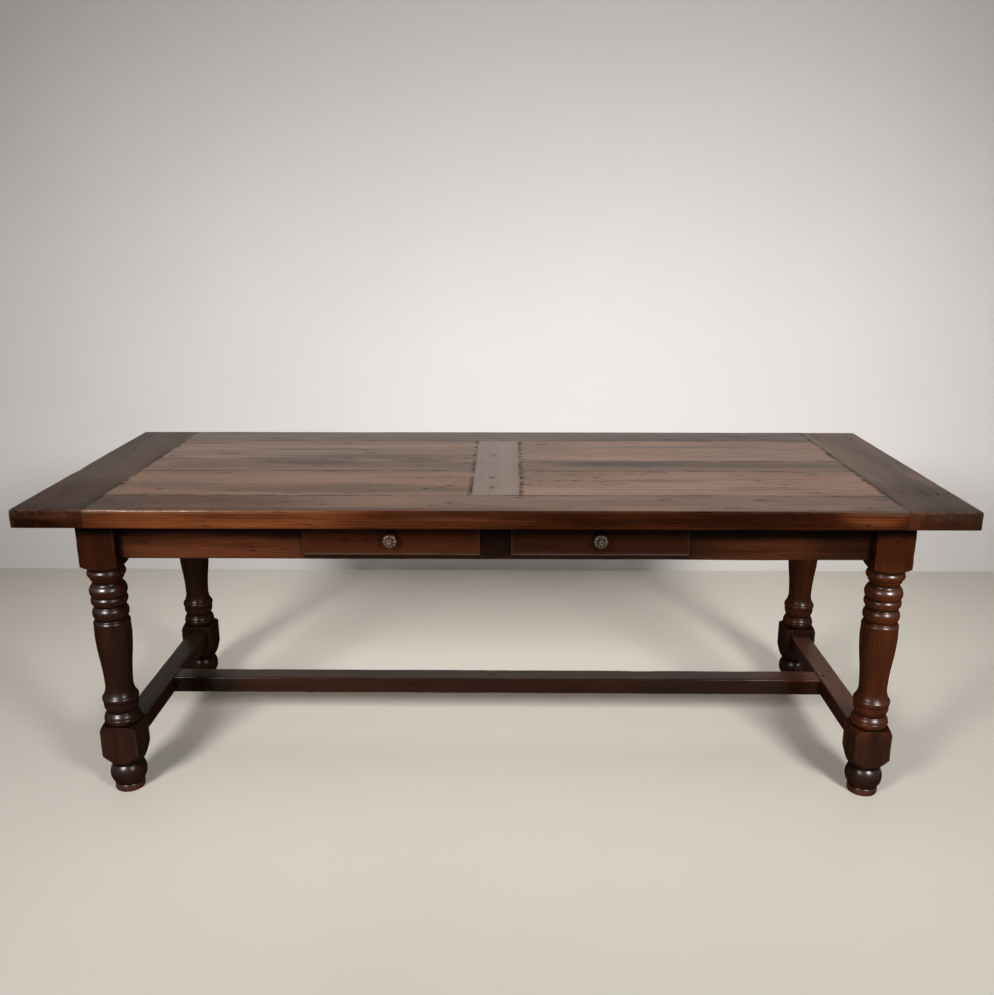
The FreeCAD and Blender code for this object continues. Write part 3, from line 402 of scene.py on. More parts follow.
def makeBoard(name, axis, start, end, box, **changes):
    shape = {**boardShape, **changes}
    layout = sectionLayout(box[1] - box[0], box[3] - box[2], shape)
    seed = shape["seed"]
    middle, swing, perMetre = shape["fine"]
    stations = boardStations(start, end, shape)
    points = []
    marks = {"wear": [], "grime": [], "edgeFace": [], "ends": []}
    for along, inset, rim in stations:
        nearEnd = min(along - start, end - along)
        endStrength = rim * math.exp(-abs(nearEnd - shape["endMarkAt"]) / shape["markReach"])
        fadeFrom, fadeTo, least = shape["wearFade"]
        fade = least + (1 - least) * within((fadeTo - along) / (fadeTo - fadeFrom))
        drift = [depth * ripple(along, seed + side, shape["wavePerMetre"])
                 for side, depth in enumerate(shape["wave"])]
        rawPoints = sectionPoints(layout, box, shape, inset)
        for (corner, turn, share, strength), (a, b, outA, outB) in zip(layout, rawPoints):
            spot = Vector((along * perMetre, a * perMetre, b * perMetre + seed))
            fine = middle + swing * noise.noise(spot)
            a -= outA * fine * (drift[0] if outA < 0 else drift[1])
            b -= outB * fine * (drift[2] if outB < 0 else drift[3])
            if turn is not None and shape["chip"]:
                dent = dentAt(along, corner, shape)
                a -= outA * shape["chip"] * dent
                b -= outB * shape["chip"] * dent
            place = [0.0, 0.0, 0.0]
            for slot, value in zip(axisOrder[axis], (along, a, b)):
                place[slot] = value
            points.append(place)
            nearest = corner if share is None or share < 0.5 else (corner + 1) % 4
            found = {"wear": 0.0, "grime": 0.0, "plain": 0.0}
            found[shape["cornerMarks"][nearest]] = strength * rim
            found[shape["endMark"]] = max(found[shape["endMark"]], endStrength)
            facing = (max(0, -outA), max(0, outA), max(0, -outB), max(0, outB))
            side = max(weight * part for weight, part in zip(shape["edgeFaces"], facing))
            endFace = shape["endFaces"][0 if along < (start + end) / 2 else 1]
            marks["wear"].append(found["wear"] * fade)
            marks["grime"].append(found["grime"])
            marks["edgeFace"].append(max(side, endFace * min(1.0, inset / shape["endRound"] * 1.5)))
            marks["ends"].append(shape["endChecks"] * math.exp(-nearEnd / shape["checkReach"]))
    ringSize = len(layout)
    faces = tubeFaces(len(stations), ringSize)
    for row, endFace in zip((0, len(stations) - 1), shape["endFaces"]):
        ring = points[row * ringSize:(row + 1) * ringSize]
        points.append([sum(point[k] for point in ring) / ringSize for k in range(3)])
        for mark, value in zip(marks, (0.0, shape["capGrime"], endFace, 0.0)):
            marks[mark].append(value)
        faces += capFaces(row, ringSize, len(points) - 1)
    return addPiece(name, points, faces, marks)


def layBoard(name, axis, reach, look, slot, box=None, **shape):
    low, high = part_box(name)
    across = axisOrder[axis][1]
    box = box or (low[across], high[across], low.z, high.z)
    dress(makeBoard(f"{name}_worn", axis, *reach, box, **shape), look, slot, "table", name)


# Top. The boards' own edges come from the frame, less the tongues that lie in the grooves.
topPlan = {"tongue": 0.010, "joint": 0.0005, "railArris": 0.0038, "endArris": 0.0075, "underArris": 0.002,
           "railWear": 0.0014, "endWear": 0.0018, "sink": 0.0006}
joint, sink = topPlan["joint"], topPlan["sink"]
endLow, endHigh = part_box("top_end_board_right")
muntinLow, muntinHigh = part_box("top_muntin")
fieldX, fieldY, halfWidth = endLow.x, -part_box("top_front_rail")[1].y, endHigh.y
under, level = endLow.z, endHigh.z


def sided(sign, lowA, highA, *others):     # swaps the outer and the inner side on the far board
    return (lowA, highA, *others) if sign < 0 else (highA, lowA, *others)


def outerBoard(sign, arris, wear, edgeShare):
    lower = topPlan["underArris"]
    return {"radii": sided(sign, lower, joint) + sided(-sign, arris, joint),
            "cornerMarks": sided(sign, "plain", "grime") + sided(-sign, "wear", "grime"),
            "wave": sided(sign, wear, 0, 0, sink), "edgeFaces": sided(sign, edgeShare, 0, 0, 0),
            "chipShare": (0.15, 0.15, 1, 1)}


umber, amber, darkStain = (0.038, 0.019, 0.012), (0.096, 0.027, 0.0086), (0.051, 0.031, 0.020)
endStains = {     # place, size, share, colour; so in every list of stains and painted shade
    "left": [((-1.0, -0.38, level), (0.24, 0.32, 0.03), 0.9, (0.034, 0.013, 0.0065)),
             ((-1.01, -halfWidth, level), (0.20, 0.060, 0.02), 0.7, (0.012, 0.0045, 0.0025)),
             ((-0.93, -halfWidth, level - 0.015), (0.09, 0.012, 0.05), 0.2, amber)],
    "right": [((1.02, -0.36, level), (0.20, 0.26, 0.03), 0.65, umber),
              ((1.05, -halfWidth, level), (0.14, 0.070, 0.02), 0.6, (0.020, 0.011, 0.007)),
              ((0.95, -halfWidth, level - 0.015), (0.08, 0.012, 0.05), 0.2, amber)],
}
endLooks = {
    "left": tones((0.31, 0.07, 0.09), (0.090, 0.053, 0.037), (0.038, 0.023, 0.017),
                  edgePale=(0.0096, 0.0022, 0.0008), edgeDark=(0.0052, 0.0013, 0.0006)),
    "right": tones((-0.52, 0.19, 0.11), (0.164, 0.102, 0.072), (0.069, 0.044, 0.032),
                   edgePale=(0.026, 0.0086, 0.0044), edgeDark=(0.0150, 0.0050, 0.0027)),
}
for side, sign in (("left", -1), ("right", 1)):
    name = f"top_end_board_{side}"
    low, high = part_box(name)
    look = makeOak(f"endBoardOak_{side}", grain="y", rough=(0.42, 0.62), streakShow=0.35, figureShow=0.10,
                   dashShow=0.25, wornShow=0.45, wornCoat=0.055, fibreShow=0.30, poreShow=0.1, bump=0.20,
                   stains=endStains[side], **endLooks[side])
    layBoard(name, "y", (low.y, high.y), look, "top_wood", endRound=0.008, endMark="wear", endMarkAt=0.004,
             endInset=sided(sign, 1.5, 0.05, 0.12, 0.8), endFaces=(1, 1), chip=0.0022, capRim=0.004,
             seed=11 + sign, **outerBoard(sign, topPlan["endArris"], topPlan["endWear"], 1))

railLooks = {
    "front": tones((0.13, 0.42, 0.10), (0.198, 0.110, 0.072), (0.079, 0.045, 0.031)),
    "back": tones((1.37, -0.21, 0.08), (0.154, 0.109, 0.087), (0.070, 0.049, 0.038)),
}
railStains = {
    "front": [((-0.60, -halfWidth, level - 0.02), (0.40, 0.012, 0.07), 0.85, amber),
              ((-0.10, -halfWidth, under + 0.014), (0.26, 0.010, 0.024), 0.35, amber),
              ((0.86, -halfWidth, level - 0.012), (0.10, 0.010, 0.04), 0.75, amber),
              ((-0.75, -0.36, level), (0.45, 0.16, 0.012), 0.75, (0.078, 0.028, 0.012)),
              # Painted shade: a dark stripe just behind the front arris darkens its top-lit rounding.
              ((-0.50, -halfWidth + 0.012, level), (0.85, 0.020, 0.006), 0.75, (0.034, 0.010, 0.005)),
              ((-0.95, -0.42, level), (0.17, 0.10, 0.012), 0.8, (0.054, 0.029, 0.019)),
              ((0.95, -0.42, level), (0.20, 0.10, 0.012), 0.7, (0.070, 0.044, 0.032))],
    "back": [((0.55, 0.37, level), (0.55, 0.12, 0.03), 0.5, (0.046, 0.032, 0.026))],
}
for side, sign in (("front", -1), ("back", 1)):
    name = f"top_{side}_rail"
    look = makeOak(f"railOak_{side}", grain="x", rough=(0.36, 0.56), wornPatch=(0.30, 0.56), wornCoat=0.05,
                   stains=railStains[side], **railLooks[side])
    # The rails' worn top arris is partly painted highlight, whole only near the left end.
    layBoard(name, "x", (-fieldX, fieldX), look, "top_wood", endRound=joint, chip=0.002,
             markReach=0.0014, wearFade=(-0.55, -0.25, 0.1), seed=21 + sign,
             **outerBoard(sign, topPlan["railArris"], topPlan["railWear"], 2))

jointed = {"radii": (joint,) * 4, "endRound": joint, "wave": (0, 0, 0, sink)}
muntinPegs = [(-0.0065, y, level) for y in (-0.227, -0.130, 0.112)]
muntinLook = makeOak("muntinOak", grain="y", rough=(0.36, 0.52), streakShow=0.1, dashShow=0.12,
                     crackShow=0.15, bandShow=1.0, patchShow=1.6, fibreShow=0.45, figureShow=0.08,
                     stains=[(place, (0.011, 0.020, 0.02), 0.6, umber) for place in muntinPegs],
                     **tones((0.83, 0.33, 0.12), (0.271, 0.192, 0.152), (0.143, 0.102, 0.084)))
layBoard("top_muntin", "y", (-fieldY, fieldY), muntinLook, "top_wood", seed=31, **jointed)

fieldLooks = {
    "left_front": tones((0.21, 0.71, 0.07), (0.256, 0.143, 0.090), (0.113, 0.059, 0.036)),
    "left_middle": tones((1.91, 0.13, 0.05), (0.224, 0.131, 0.086), (0.100, 0.056, 0.037)),
    "left_back": tones((2.43, -0.37, 0.09), (0.250, 0.154, 0.105), (0.118, 0.070, 0.049)),
    "right_front": tones((3.17, 0.52, 0.06), (0.294, 0.166, 0.108), (0.138, 0.074, 0.047)),
    "right_middle": tones((4.61, 0.27, 0.08), (0.204, 0.110, 0.070), (0.086, 0.046, 0.030)),
    "right_back": tones((5.29, -0.16, 0.05), (0.301, 0.174, 0.115), (0.141, 0.079, 0.052)),
}
fieldStains = {     # x, y, half length, half width, share
    "right_middle": [(0.33, 0.012, 0.26, 0.040, 0.9), (0.70, 0.000, 0.30, 0.045, 0.6)],
    "left_middle": [(-0.50, 0.030, 0.22, 0.040, 0.75), (-0.20, 0.050, 0.12, 0.022, 0.7),
                    (-0.78, 0.010, 0.14, 0.050, 0.4)],
    "left_back": [(-0.50, 0.190, 0.26, 0.012, 0.9), (-0.35, 0.105, 0.30, 0.030, 0.4)],
    "left_front": [(-0.30, -0.260, 0.40, 0.030, 0.35)],
    "right_front": [(0.40, -0.160, 0.22, 0.020, 0.5), (0.66, -0.230, 0.16, 0.016, 0.4)],
    "right_back": [(0.50, 0.220, 0.30, 0.022, 0.4)],
}
for number, (place, look) in enumerate(fieldLooks.items()):
    name = f"field_board_{place}"
    low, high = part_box(name)
    reach = (-fieldX, muntinLow.x) if place.startswith("left") else (muntinHigh.x, fieldX)
    front = low.y if place.endswith(("middle", "back")) else low.y + topPlan["tongue"]
    stains = [((x, y, level), (length, width, 0.05), show, darkStain)
              for x, y, length, width, show in fieldStains[place]]
    layBoard(name, "x", reach, makeOak(f"fieldOak_{place}", grain="x", stains=stains, **look), "top_wood",
             (front, high.y - topPlan["tongue"], under, level), endChecks=1.0, seed=41 + number, **jointed)
print("top boards made")

# Legs, turned from a square blank. Heights and radii run from the floor up; bulge is the arc's rise.
legShape = {
    "arris": 0.0025, "blend": 0.0016, "block": 0.0675, "step": 0.0012, "blockStep": 0.005,
    "foot": [(0.0, 0.0335), (0.0008, 0.0347)], "footRadius": 0.035,
    "turnings": [     # height, radius at its top, bulge
        (0.017, 0.035, 0.0018), (0.0015, 0.034, 0.0), (0.0545, 0.0355, 0.0102), (0.04, 0.0675, 0.0),
        (0.059, 0.0675, 0.0), (0.015, 0.0415, 0.0025), (0.029, 0.038, 0.0045), (0.008, 0.038, -0.0015),
        (0.0215, 0.041, 0.0022), (0.0175, 0.04, 0.0038), (0.025, 0.0335, -0.0015), (0.077, 0.0394, -0.0012),
        (0.043, 0.0432, 0.0005), (0.043, 0.043, 0.001), (0.013, 0.0395, 0.0024), (0.005, 0.0388, -0.0006),
        (0.029, 0.038, 0.005), (0.005, 0.038, -0.0015), (0.023, 0.04, 0.0047), (0.03, 0.0385, 0.0055),
        (0.014, 0.039, -0.0035), (0.006, 0.0405, 0.0), (0.018, 0.0425, 0.004), (0.009, 0.043, -0.0008),
        (0.014, 0.0675, 0.0025), (0.114, 0.0675, 0.0),
    ],
    "incised": [(0.203, 0.0011), (0.43, 0.0006), (0.437, 0.0006)], "lineReach": 0.0011,     # height, depth
    "turnSteps": [0, 7, 14, 20, 26, 31, 35, 38, 40.5, 42.3, 43.4, 44.2, 45],     # degrees off a face's middle
    "crestWindow": 0.009, "crestRise": 0.002, "skin": 0.0003, "cornerReach": 0.006, "cornerChip": 0.0016,
    "rimReach": 0.004, "rimWear": 0.6, "shoulders": (0.1, 0.64), "glossTilt": 0.55, "glossRange": 0.30,
    "apronFrom": 0.6, "apronFacing": 0.76, "apronGrime": 0.9,     # painted shade on the block's faces beside an apron
    "skinWaves": (1.5, 30), "chipWaves": (45, 2), "crestWear": 0.5, "lampSide": 0.75,
    "polishedRing": 0.543, "ringReach": 0.012, "ringPolish": 1.3,     # the broad ring is the most polished
}


def turnedProfile(shape):
    rows = list(shape["foot"])
    height, radius = 0.0, shape["footRadius"]
    for rise, nextRadius, bulge in shape["turnings"]:
        run = math.hypot(rise, nextRadius - radius)
        plain = radius == nextRadius == shape["block"]
        count = max(2, round(run / (shape["blockStep"] if plain else shape["step"])))
        for step in range(1, count + 1):
            share = step / count
            z = height + rise * share
            r = radius + (nextRadius - radius) * share
            if bulge:
                curve = run * run / (8 * abs(bulge)) + abs(bulge) / 2     # the arc's radius
                offset = (share - 0.5) * run
                lift = math.copysign(math.sqrt(curve ** 2 - offset ** 2) - (curve - abs(bulge)), bulge)
                z -= lift * (nextRadius - radius) / run
                r += lift * rise / run
            for line, depth in shape["incised"]:
                r -= depth * math.exp(-((z - line) / shape["lineReach"]) ** 2)
            rows.append((z, r))
        height, radius = height + rise, nextRadius
    return rows


def squareReach(turn, half, arris):
    across, along = abs(math.cos(turn)), abs(math.sin(turn))
    reach = half / max(across, along)
    core = half - arris
    if min(across, along) * reach > core:
        dot = core * (across + along)
        reach = dot + math.sqrt(arris ** 2 - (2 * core ** 2 - dot ** 2))
    return reach


def softLeast(one, other, blend):
    gap = max(blend - abs(one - other), 0.0) / blend
    return min(one, other) - gap * gap * blend * 0.25


def glossAt(index, rows, shape):     # upward slopes catch the lamps
    z = rows[index][0]
    before, after = rows[max(0, index - 1)], rows[min(len(rows) - 1, index + 1)]
    tilt = math.atan2(before[1] - after[1], after[0] - before[0])
    slope = math.exp(-((tilt - shape["glossTilt"]) / shape["glossRange"]) ** 2)
    offRing = (z - shape["polishedRing"]) / shape["ringReach"]
    return slope * (1 + shape["ringPolish"] * math.exp(-offRing ** 2))


def makeLeg(name, low, high, shape, seed):
    half = (high.x - low.x) / 2
    centreX, centreY = (low.x + high.x) / 2, (low.y + high.y) / 2
    inward = Vector((-math.copysign(1, centreX), -math.copysign(1, centreY)))
    rows = turnedProfile(shape)
    quarter = [-angle for angle in reversed(shape["turnSteps"][1:])] + shape["turnSteps"][:-1]
    turns = [math.radians(base + angle) for base in (0, 90, 180, 270) for angle in quarter]
    (perRadius, perHeight), (chipsUp, chipsRound) = shape["skinWaves"], shape["chipWaves"]
    lampSide = shape["lampSide"]
    points = []
    marks = {"wear": [], "grime": [], "gloss": []}
    for index, (z, turned) in enumerate(rows):
        nearby = rows[max(0, index - 9):index + 10]
        window = [r for other, r in nearby if abs(other - z) < shape["crestWindow"]]
        crest = (turned - sum(window) / len(window)) / shape["crestRise"]
        slope = glossAt(index, rows, shape)
        rimWear = shape["rimWear"] if shape["shoulders"][0] < z < shape["shoulders"][1] else 0
        for turn in turns:
            across, along = math.cos(turn), math.sin(turn)
            square = squareReach(turn, half, shape["arris"])
            reach = softLeast(turned, square, shape["blend"])
            onBlock = turned > square
            corner = max(0.0, 1 - (math.sqrt(2) * half - square) / shape["cornerReach"]) if onBlock else 0.0
            around = Vector((across * perRadius, along * perRadius, z * perHeight + seed))
            reach -= shape["skin"] * (0.5 + 0.5 * noise.noise(around))
            chip = noise.noise(Vector((z * chipsUp, turn * chipsRound, seed)))
            reach -= corner * shape["cornerChip"] * max(0.0, chip)
            points.append((centreX + reach * across, centreY + reach * along, z))
            rim = max(0.0, 1 - abs(turned - square) / shape["rimReach"]) * rimWear
            facing = max(inward.x * across, inward.y * along)
            besideApron = facing > shape["apronFacing"] and z > shape["apronFrom"]
            marks["wear"].append(max(corner, rim, 0.0 if onBlock else within(crest) * shape["crestWear"]))
            # painted shade on block faces beside an apron; grime in the turnings' hollows
            marks["grime"].append(shape["apronGrime"] * besideApron if onBlock else within(-crest))
            marks["gloss"].append(0.0 if onBlock else slope * within(lampSide - lampSide * inward.x * across))
    ringSize = len(turns)
    faces = tubeFaces(len(rows), ringSize)
    for row in (0, len(rows) - 1):
        points.append((centreX, centreY, rows[row][0]))
        for values in marks.values():
            values.append(0.0)
        faces += capFaces(row, ringSize, len(points) - 1)
    return addPiece(name, points, faces, marks, 50)


baseOak = {
    "streak": (0.005, 0.0015, 0.0008), "wornColour": (0.06, 0.024, 0.011),
    "grimeColour": (0.003, 0.0012, 0.0008), "rough": (0.30, 0.45),
    "coat": 0.024, "shine": 0.0, "wornCoat": 0.02, "dashShow": 0.25, "breaks": (0.30, 0.50),
    "figureShow": 0.15, "fibreShow": 0.25, "streakShow": 0.4, "poreShow": 0.35, "wornShow": 0.5,
    "grimeShow": 0.8,
}
legOak = {**baseOak, "grain": "z", "bump": 0.16, "coat": 0.018, "crestCoat": 0.16, "coatRough": 0.30,
          "bandShow": 1.9, "fibreShow": 0.12, "poreShow": 0.15, "streakShow": 0.25, "wornShow": 0.25}
legLooks = {
    "leg_front_left": tones((0.2, 0.06, 0.05), (0.023, 0.0053, 0.0014), (0.009, 0.0022, 0.0008)),
    "leg_front_right": tones((0.5, 0.31, 0.12), (0.066, 0.0155, 0.0034), (0.024, 0.0056, 0.0016)),
    "leg_back_left": tones((0.9, 0.17, 0.21), (0.019, 0.0064, 0.0027), (0.007, 0.0020, 0.0008),
                           coat=0.011, crestCoat=0.045),
    "leg_back_right": tones((1.4, 0.23, 0.33), (0.050, 0.0135, 0.0040), (0.012, 0.0036, 0.0015),
                            coat=0.010, crestCoat=0.080),
}
shadeBlack = (0.002, 0.0008, 0.0006)
neckTone = (0.720, 0.034, 0.95, shadeBlack)     # painted black shade under the top: height, reach up and down, share, colour; so in every tone
footTones = [(0.120, 0.085, 0.80, (0.018, 0.0070, 0.0039)), (0.047, 0.048, 0.85, (0.012, 0.0040, 0.0021)),
             (0.004, 0.020, 0.85, (0.045, 0.0160, 0.0080))]     # lower block, ball and disc
legTones = {
    "leg_front_left": [(0.330, 0.270, 0.75, (0.010, 0.0034, 0.0016)), neckTone] + footTones,
    "leg_front_right": [(0.680, 0.090, 0.75, (0.022, 0.0050, 0.0011)), neckTone] + footTones,
    # The back legs' darker lower ends are partly painted shade, partly darker wood.
    "leg_back_left": [(0.115, 0.130, 0.80, (0.005, 0.0023, 0.0014)), neckTone],
    "leg_back_right": [(0.105, 0.150, 0.85, (0.007, 0.0030, 0.0021)), neckTone],
}
for number, (name, changes) in enumerate(legLooks.items()):
    low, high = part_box(name)
    centre = (low + high) / 2
    stains = [((centre.x, centre.y, height), (0.5, 0.5, reach), share, colour)
              for height, reach, share, colour in legTones[name]]
    leg = makeLeg(f"{name}_turned", low, high, legShape, number * 9.7)
    dress(leg, makeOak(f"{name}_oak", **{**legOak, **changes, "stains": stains}), "base_wood", "table", name)
print("legs turned")

# Aprons and stretchers between the legs
legLow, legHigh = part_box("leg_front_right")
railEndX, railEndY = legLow.x, -legHigh.y
acrossX, acrossY = (-railEndX, railEndX), (-railEndY, railEndY)
apronBoard = {"radii": (0.003, 0.003, 0.0012, 0.0012), "cornerMarks": ("wear", "wear", "grime", "grime"),
              "endRound": 0.0004, "chip": 0.0016, "markReach": 0.003, "wave": (0.0004, 0.0004, 0.0016, 0)}
apronWood = {**baseOak, "pale": (0.036, 0.0098, 0.0034), "dark": (0.015, 0.0043, 0.0017),
             "streak": (0.007, 0.0022, 0.001)}
apronOakX = makeOak("apronOakLong", grain="x", shift=(0.4, 0.3, 0.2), **apronWood)
apronOakY = makeOak("apronOakShort", grain="y", shift=(0.7, 0.5, 0.15), **apronWood)
layBoard("back_apron", "x", acrossX, apronOakX, "base_wood", seed=61, **apronBoard)
for number, name in enumerate(("left_apron", "right_apron")):
    layBoard(name, "y", acrossY, apronOakY, "base_wood", seed=63 + number, **apronBoard)

# The front apron has two drawer openings, so it is a sheet of cells with walls round its edges and holes
# The front apron's dark mark is painted shade on the strip under the drawer fronts. It also darkens the apron
# towards the legs.
frontApron = {"lip": 0.008, "arris": 0.004, "arrisSteps": 6, "waver": 0.0022, "waverReach": 0.02,
              "step": 0.012, "railStep": 0.006, "sideStep": 0.010, "wearReach": 0.005, "grime": 0.9,
              "grimeReach": 0.014, "openingRim": 0.010}


def between(start, end, step):
    count = max(1, round((end - start) / step))
    return [start + (end - start) * part / count for part in range(count)]


def makeFrontApron(name, low, high, plan):
    openings = []
    lip, arris, railStep, rim = (plan[key] for key in ("lip", "arris", "railStep", "openingRim"))
    for drawer in drawers:
        faceLow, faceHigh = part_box(f"{drawer}_front")
        openings.append((faceLow.x + lip, faceHigh.x - lip, faceLow.z + lip, faceHigh.z - lip))
    sill, head = openings[0][2:]
    cutsX = sorted([-railEndX, railEndX] + [edge for opening in openings for edge in opening[:2]])
    xs = [x for start, end in zip(cutsX, cutsX[1:]) for x in between(start, end, plan["step"])] + [railEndX]
    arc = between(0, 0.5 * math.pi, 0.5 * math.pi / plan["arrisSteps"])
    zs = [low.z + arris * (1 - math.cos(turn)) for turn in arc]
    zs += [low.z + arris] + between(low.z + 2 * arris, sill, railStep)
    zs += between(sill, head, plan["sideStep"]) + between(head, high.z, railStep) + [high.z]
    points, faces = [], []
    marks = {"wear": [], "grime": []}
    for face, y in ((-1, low.y), (1, high.y)):
        for z in zs:
            for x in xs:
                rise = z - low.z
                depth = arris - math.sqrt(max(0.0, arris ** 2 - (arris - rise) ** 2)) if rise < arris else 0.0
                lift = plan["waver"] * ripple(x, 71, 4) * max(0.0, 1 - rise / plan["waverReach"])
                points.append((x, y - face * depth, z + lift))
                # painted shade under the drawer fronts; darker towards the legs
                below = any(left - rim < x < right + rim for left, right, *rest in openings) and z < sill
                besideLeg = math.exp(-(railEndX - abs(x)) / plan["grimeReach"])
                marks["wear"].append(math.exp(-rise / plan["wearReach"]))
                marks["grime"].append(plan["grime"] * max(float(below), besideLeg))
    width, back = len(xs), len(xs) * len(zs)

    def solid(column, row):
        if not (0 <= column < len(xs) - 1 and 0 <= row < len(zs) - 1):
            return False
        x, z = (xs[column] + xs[column + 1]) / 2, (zs[row] + zs[row + 1]) / 2
        return not any(left < x < right and foot < z < top for left, right, foot, top in openings)

    for row in range(len(zs) - 1):
        for column in range(len(xs) - 1):
            if not solid(column, row):
                continue
            first = row * width + column
            corners = (first, first + 1, first + width + 1, first + width)
            faces += [corners, tuple(back + corner for corner in corners)]
            walls = (((0, 1), (column, row - 1)), ((1, 2), (column + 1, row)),
                     ((2, 3), (column, row + 1)), ((3, 0), (column - 1, row)))
            for (one, two), neighbour in walls:
                if not solid(*neighbour):
                    faces.append((corners[one], corners[two], back + corners[two], back + corners[one]))
    return addPiece(name, points, faces, marks)


low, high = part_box("front_apron")
shadeBrown = (0.0040, 0.0014, 0.0008)
# Orange patches at the left and right, and darker towards the right end. Painted shade in the gap between the
# drawers and under the top's overhang, with a painted black shadow right under the top.
apronStains = [
    ((-0.68, low.y, low.z + 0.03), (0.36, 0.03, 0.08), 0.8, (0.058, 0.0165, 0.0066)),
    ((0.50, low.y, low.z + 0.06), (0.07, 0.03, 0.12), 0.2, shadeBrown),
    ((0.62, low.y, low.z + 0.045), (0.17, 0.03, 0.08), 0.5, (0.048, 0.0135, 0.0042)),
    ((0.84, low.y, low.z + 0.06), (0.12, 0.03, 0.12), 0.5, shadeBrown),
    ((0.0035, low.y, low.z + 0.06), (0.07, 0.03, 0.14), 0.9, shadeBrown),
    ((0.0, low.y, high.z), (4.0, 0.04, 0.065), 0.3, shadeBrown),
    ((0.0, low.y, high.z - 0.021), (9.0, 0.04, 0.040), 0.8, shadeBlack),
]
apronOak = makeOak("frontApronOak", grain="x", shift=(2.2, 0.9, 0.12), stains=apronStains, **apronWood)
apron = makeFrontApron("front_apron_worn", low, high, frontApron)
dress(apron, apronOak, "base_wood", "table", "front_apron")

stretcherBoard = {"radii": (0.003, 0.003, 0.0035, 0.0035), "cornerMarks": ("wear",) * 4, "endRound": 0.0004,
                  "chip": 0.002, "wave": (0.0008, 0.0008, 0.001, 0.0014), "wavePerMetre": 4,
                  "markReach": 0.002, "edgeFaces": (1, 1, 1, 0)}
# The top face's paler, greyer colours are partly painted sheen; the other faces take the edge colours.
stretcherOak = {**baseOak, "pale": (0.040, 0.0205, 0.0125), "dark": (0.020, 0.0098, 0.006), "shine": 0.08,
                "edgePale": (0.026, 0.0084, 0.0038), "edgeDark": (0.011, 0.0039, 0.0021), "bandShow": 1.6,
                "wornShow": 0.15, "streakShow": 0.2, "fibreShow": 0.15, "poreShow": 0.15, "dashShow": 0.1}
endStretchers = {
    "left_end_stretcher": tones((1.3, 0.6, 0.1), (0.020, 0.0105, 0.0074), (0.010, 0.0053, 0.0038),
                                coat=0.014, shine=0.05),
    "right_end_stretcher": tones((1.3, 0.6, 1.1), (0.105, 0.037, 0.019), (0.056, 0.020, 0.0105)),
}
stretcherStains = [((-0.012, 0.0, 0.164), (0.013, 0.013, 0.02), 0.9, (0.004, 0.002, 0.001)),
                   # painted shade on the front of the left end
                   ((-0.86, -0.03, 0.145), (0.20, 0.03, 0.09), 0.85, (0.004, 0.002, 0.0013)),
                   ((0.85, 0.0, 0.164), (0.16, 0.08, 0.012), 0.7, (0.090, 0.024, 0.011)),
                   ((0.62, -0.03, 0.138), (0.26, 0.03, 0.06), 0.5, (0.011, 0.0045, 0.0026))]
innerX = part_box("right_end_stretcher")[0].x
longOak = makeOak("longStretcherOak", shift=(3.3, 0.4, 0.1), stains=stretcherStains, **stretcherOak)
layBoard("long_stretcher", "x", (-innerX, innerX), longOak, "base_wood", seed=81, **stretcherBoard)
for number, (name, changes) in enumerate(endStretchers.items()):
    endOak = makeOak(f"{name}_oak", **{**stretcherOak, "grain": "y", **changes})
    layBoard(name, "y", acrossY, endOak, "base_wood", seed=83 + number, **stretcherBoard)
print("aprons and stretchers made")

# Drawers: a lipped front with rounded, rubbed edges, the lower and end ones partly painted highlight, on the
# imported box
drawerFront = {"round": 0.005, "lipDepth": 0.0117, "plugInset": 0.00025, "lip": 0.008, "sideGap": 0.0015,
               "headGap": 0.0015, "fine": 0.0006, "plugEdge": 0.0004}
drawerLooks = {
    "left_drawer": tones((0.9, 0.2, 0.09), (0.038, 0.0092, 0.0032), (0.017, 0.0044, 0.0018)),
    "right_drawer": tones((1.8, 0.4, 0.13), (0.022, 0.0054, 0.0018), (0.0098, 0.0027, 0.0011)),
}
frontWood = {**baseOak, "grain": "x", "wornColour": (0.060, 0.035, 0.023), "wornShow": 0.55, "coat": 0.022,
             "wornPatch": (0.25, 0.50)}
lining = {"pale": (0.42, 0.30, 0.19), "dark": (0.25, 0.165, 0.095), "streak": (0.16, 0.10, 0.06),
          "wornColour": (0.46, 0.34, 0.22), "grimeColour": (0.08, 0.05, 0.03), "rough": (0.55, 0.75),
          "patchShow": 1.0, "bandShow": 1.0, "figureShow": 0.4, "crackShow": 0.3, "dashShow": 0.3}
liningX = makeOak("liningOakCross", grain="x", shift=(0.5, 0.3, 0.07), **lining)
liningY = makeOak("liningOakLong", grain="y", shift=(0.2, 0.6, 0.07), **lining)
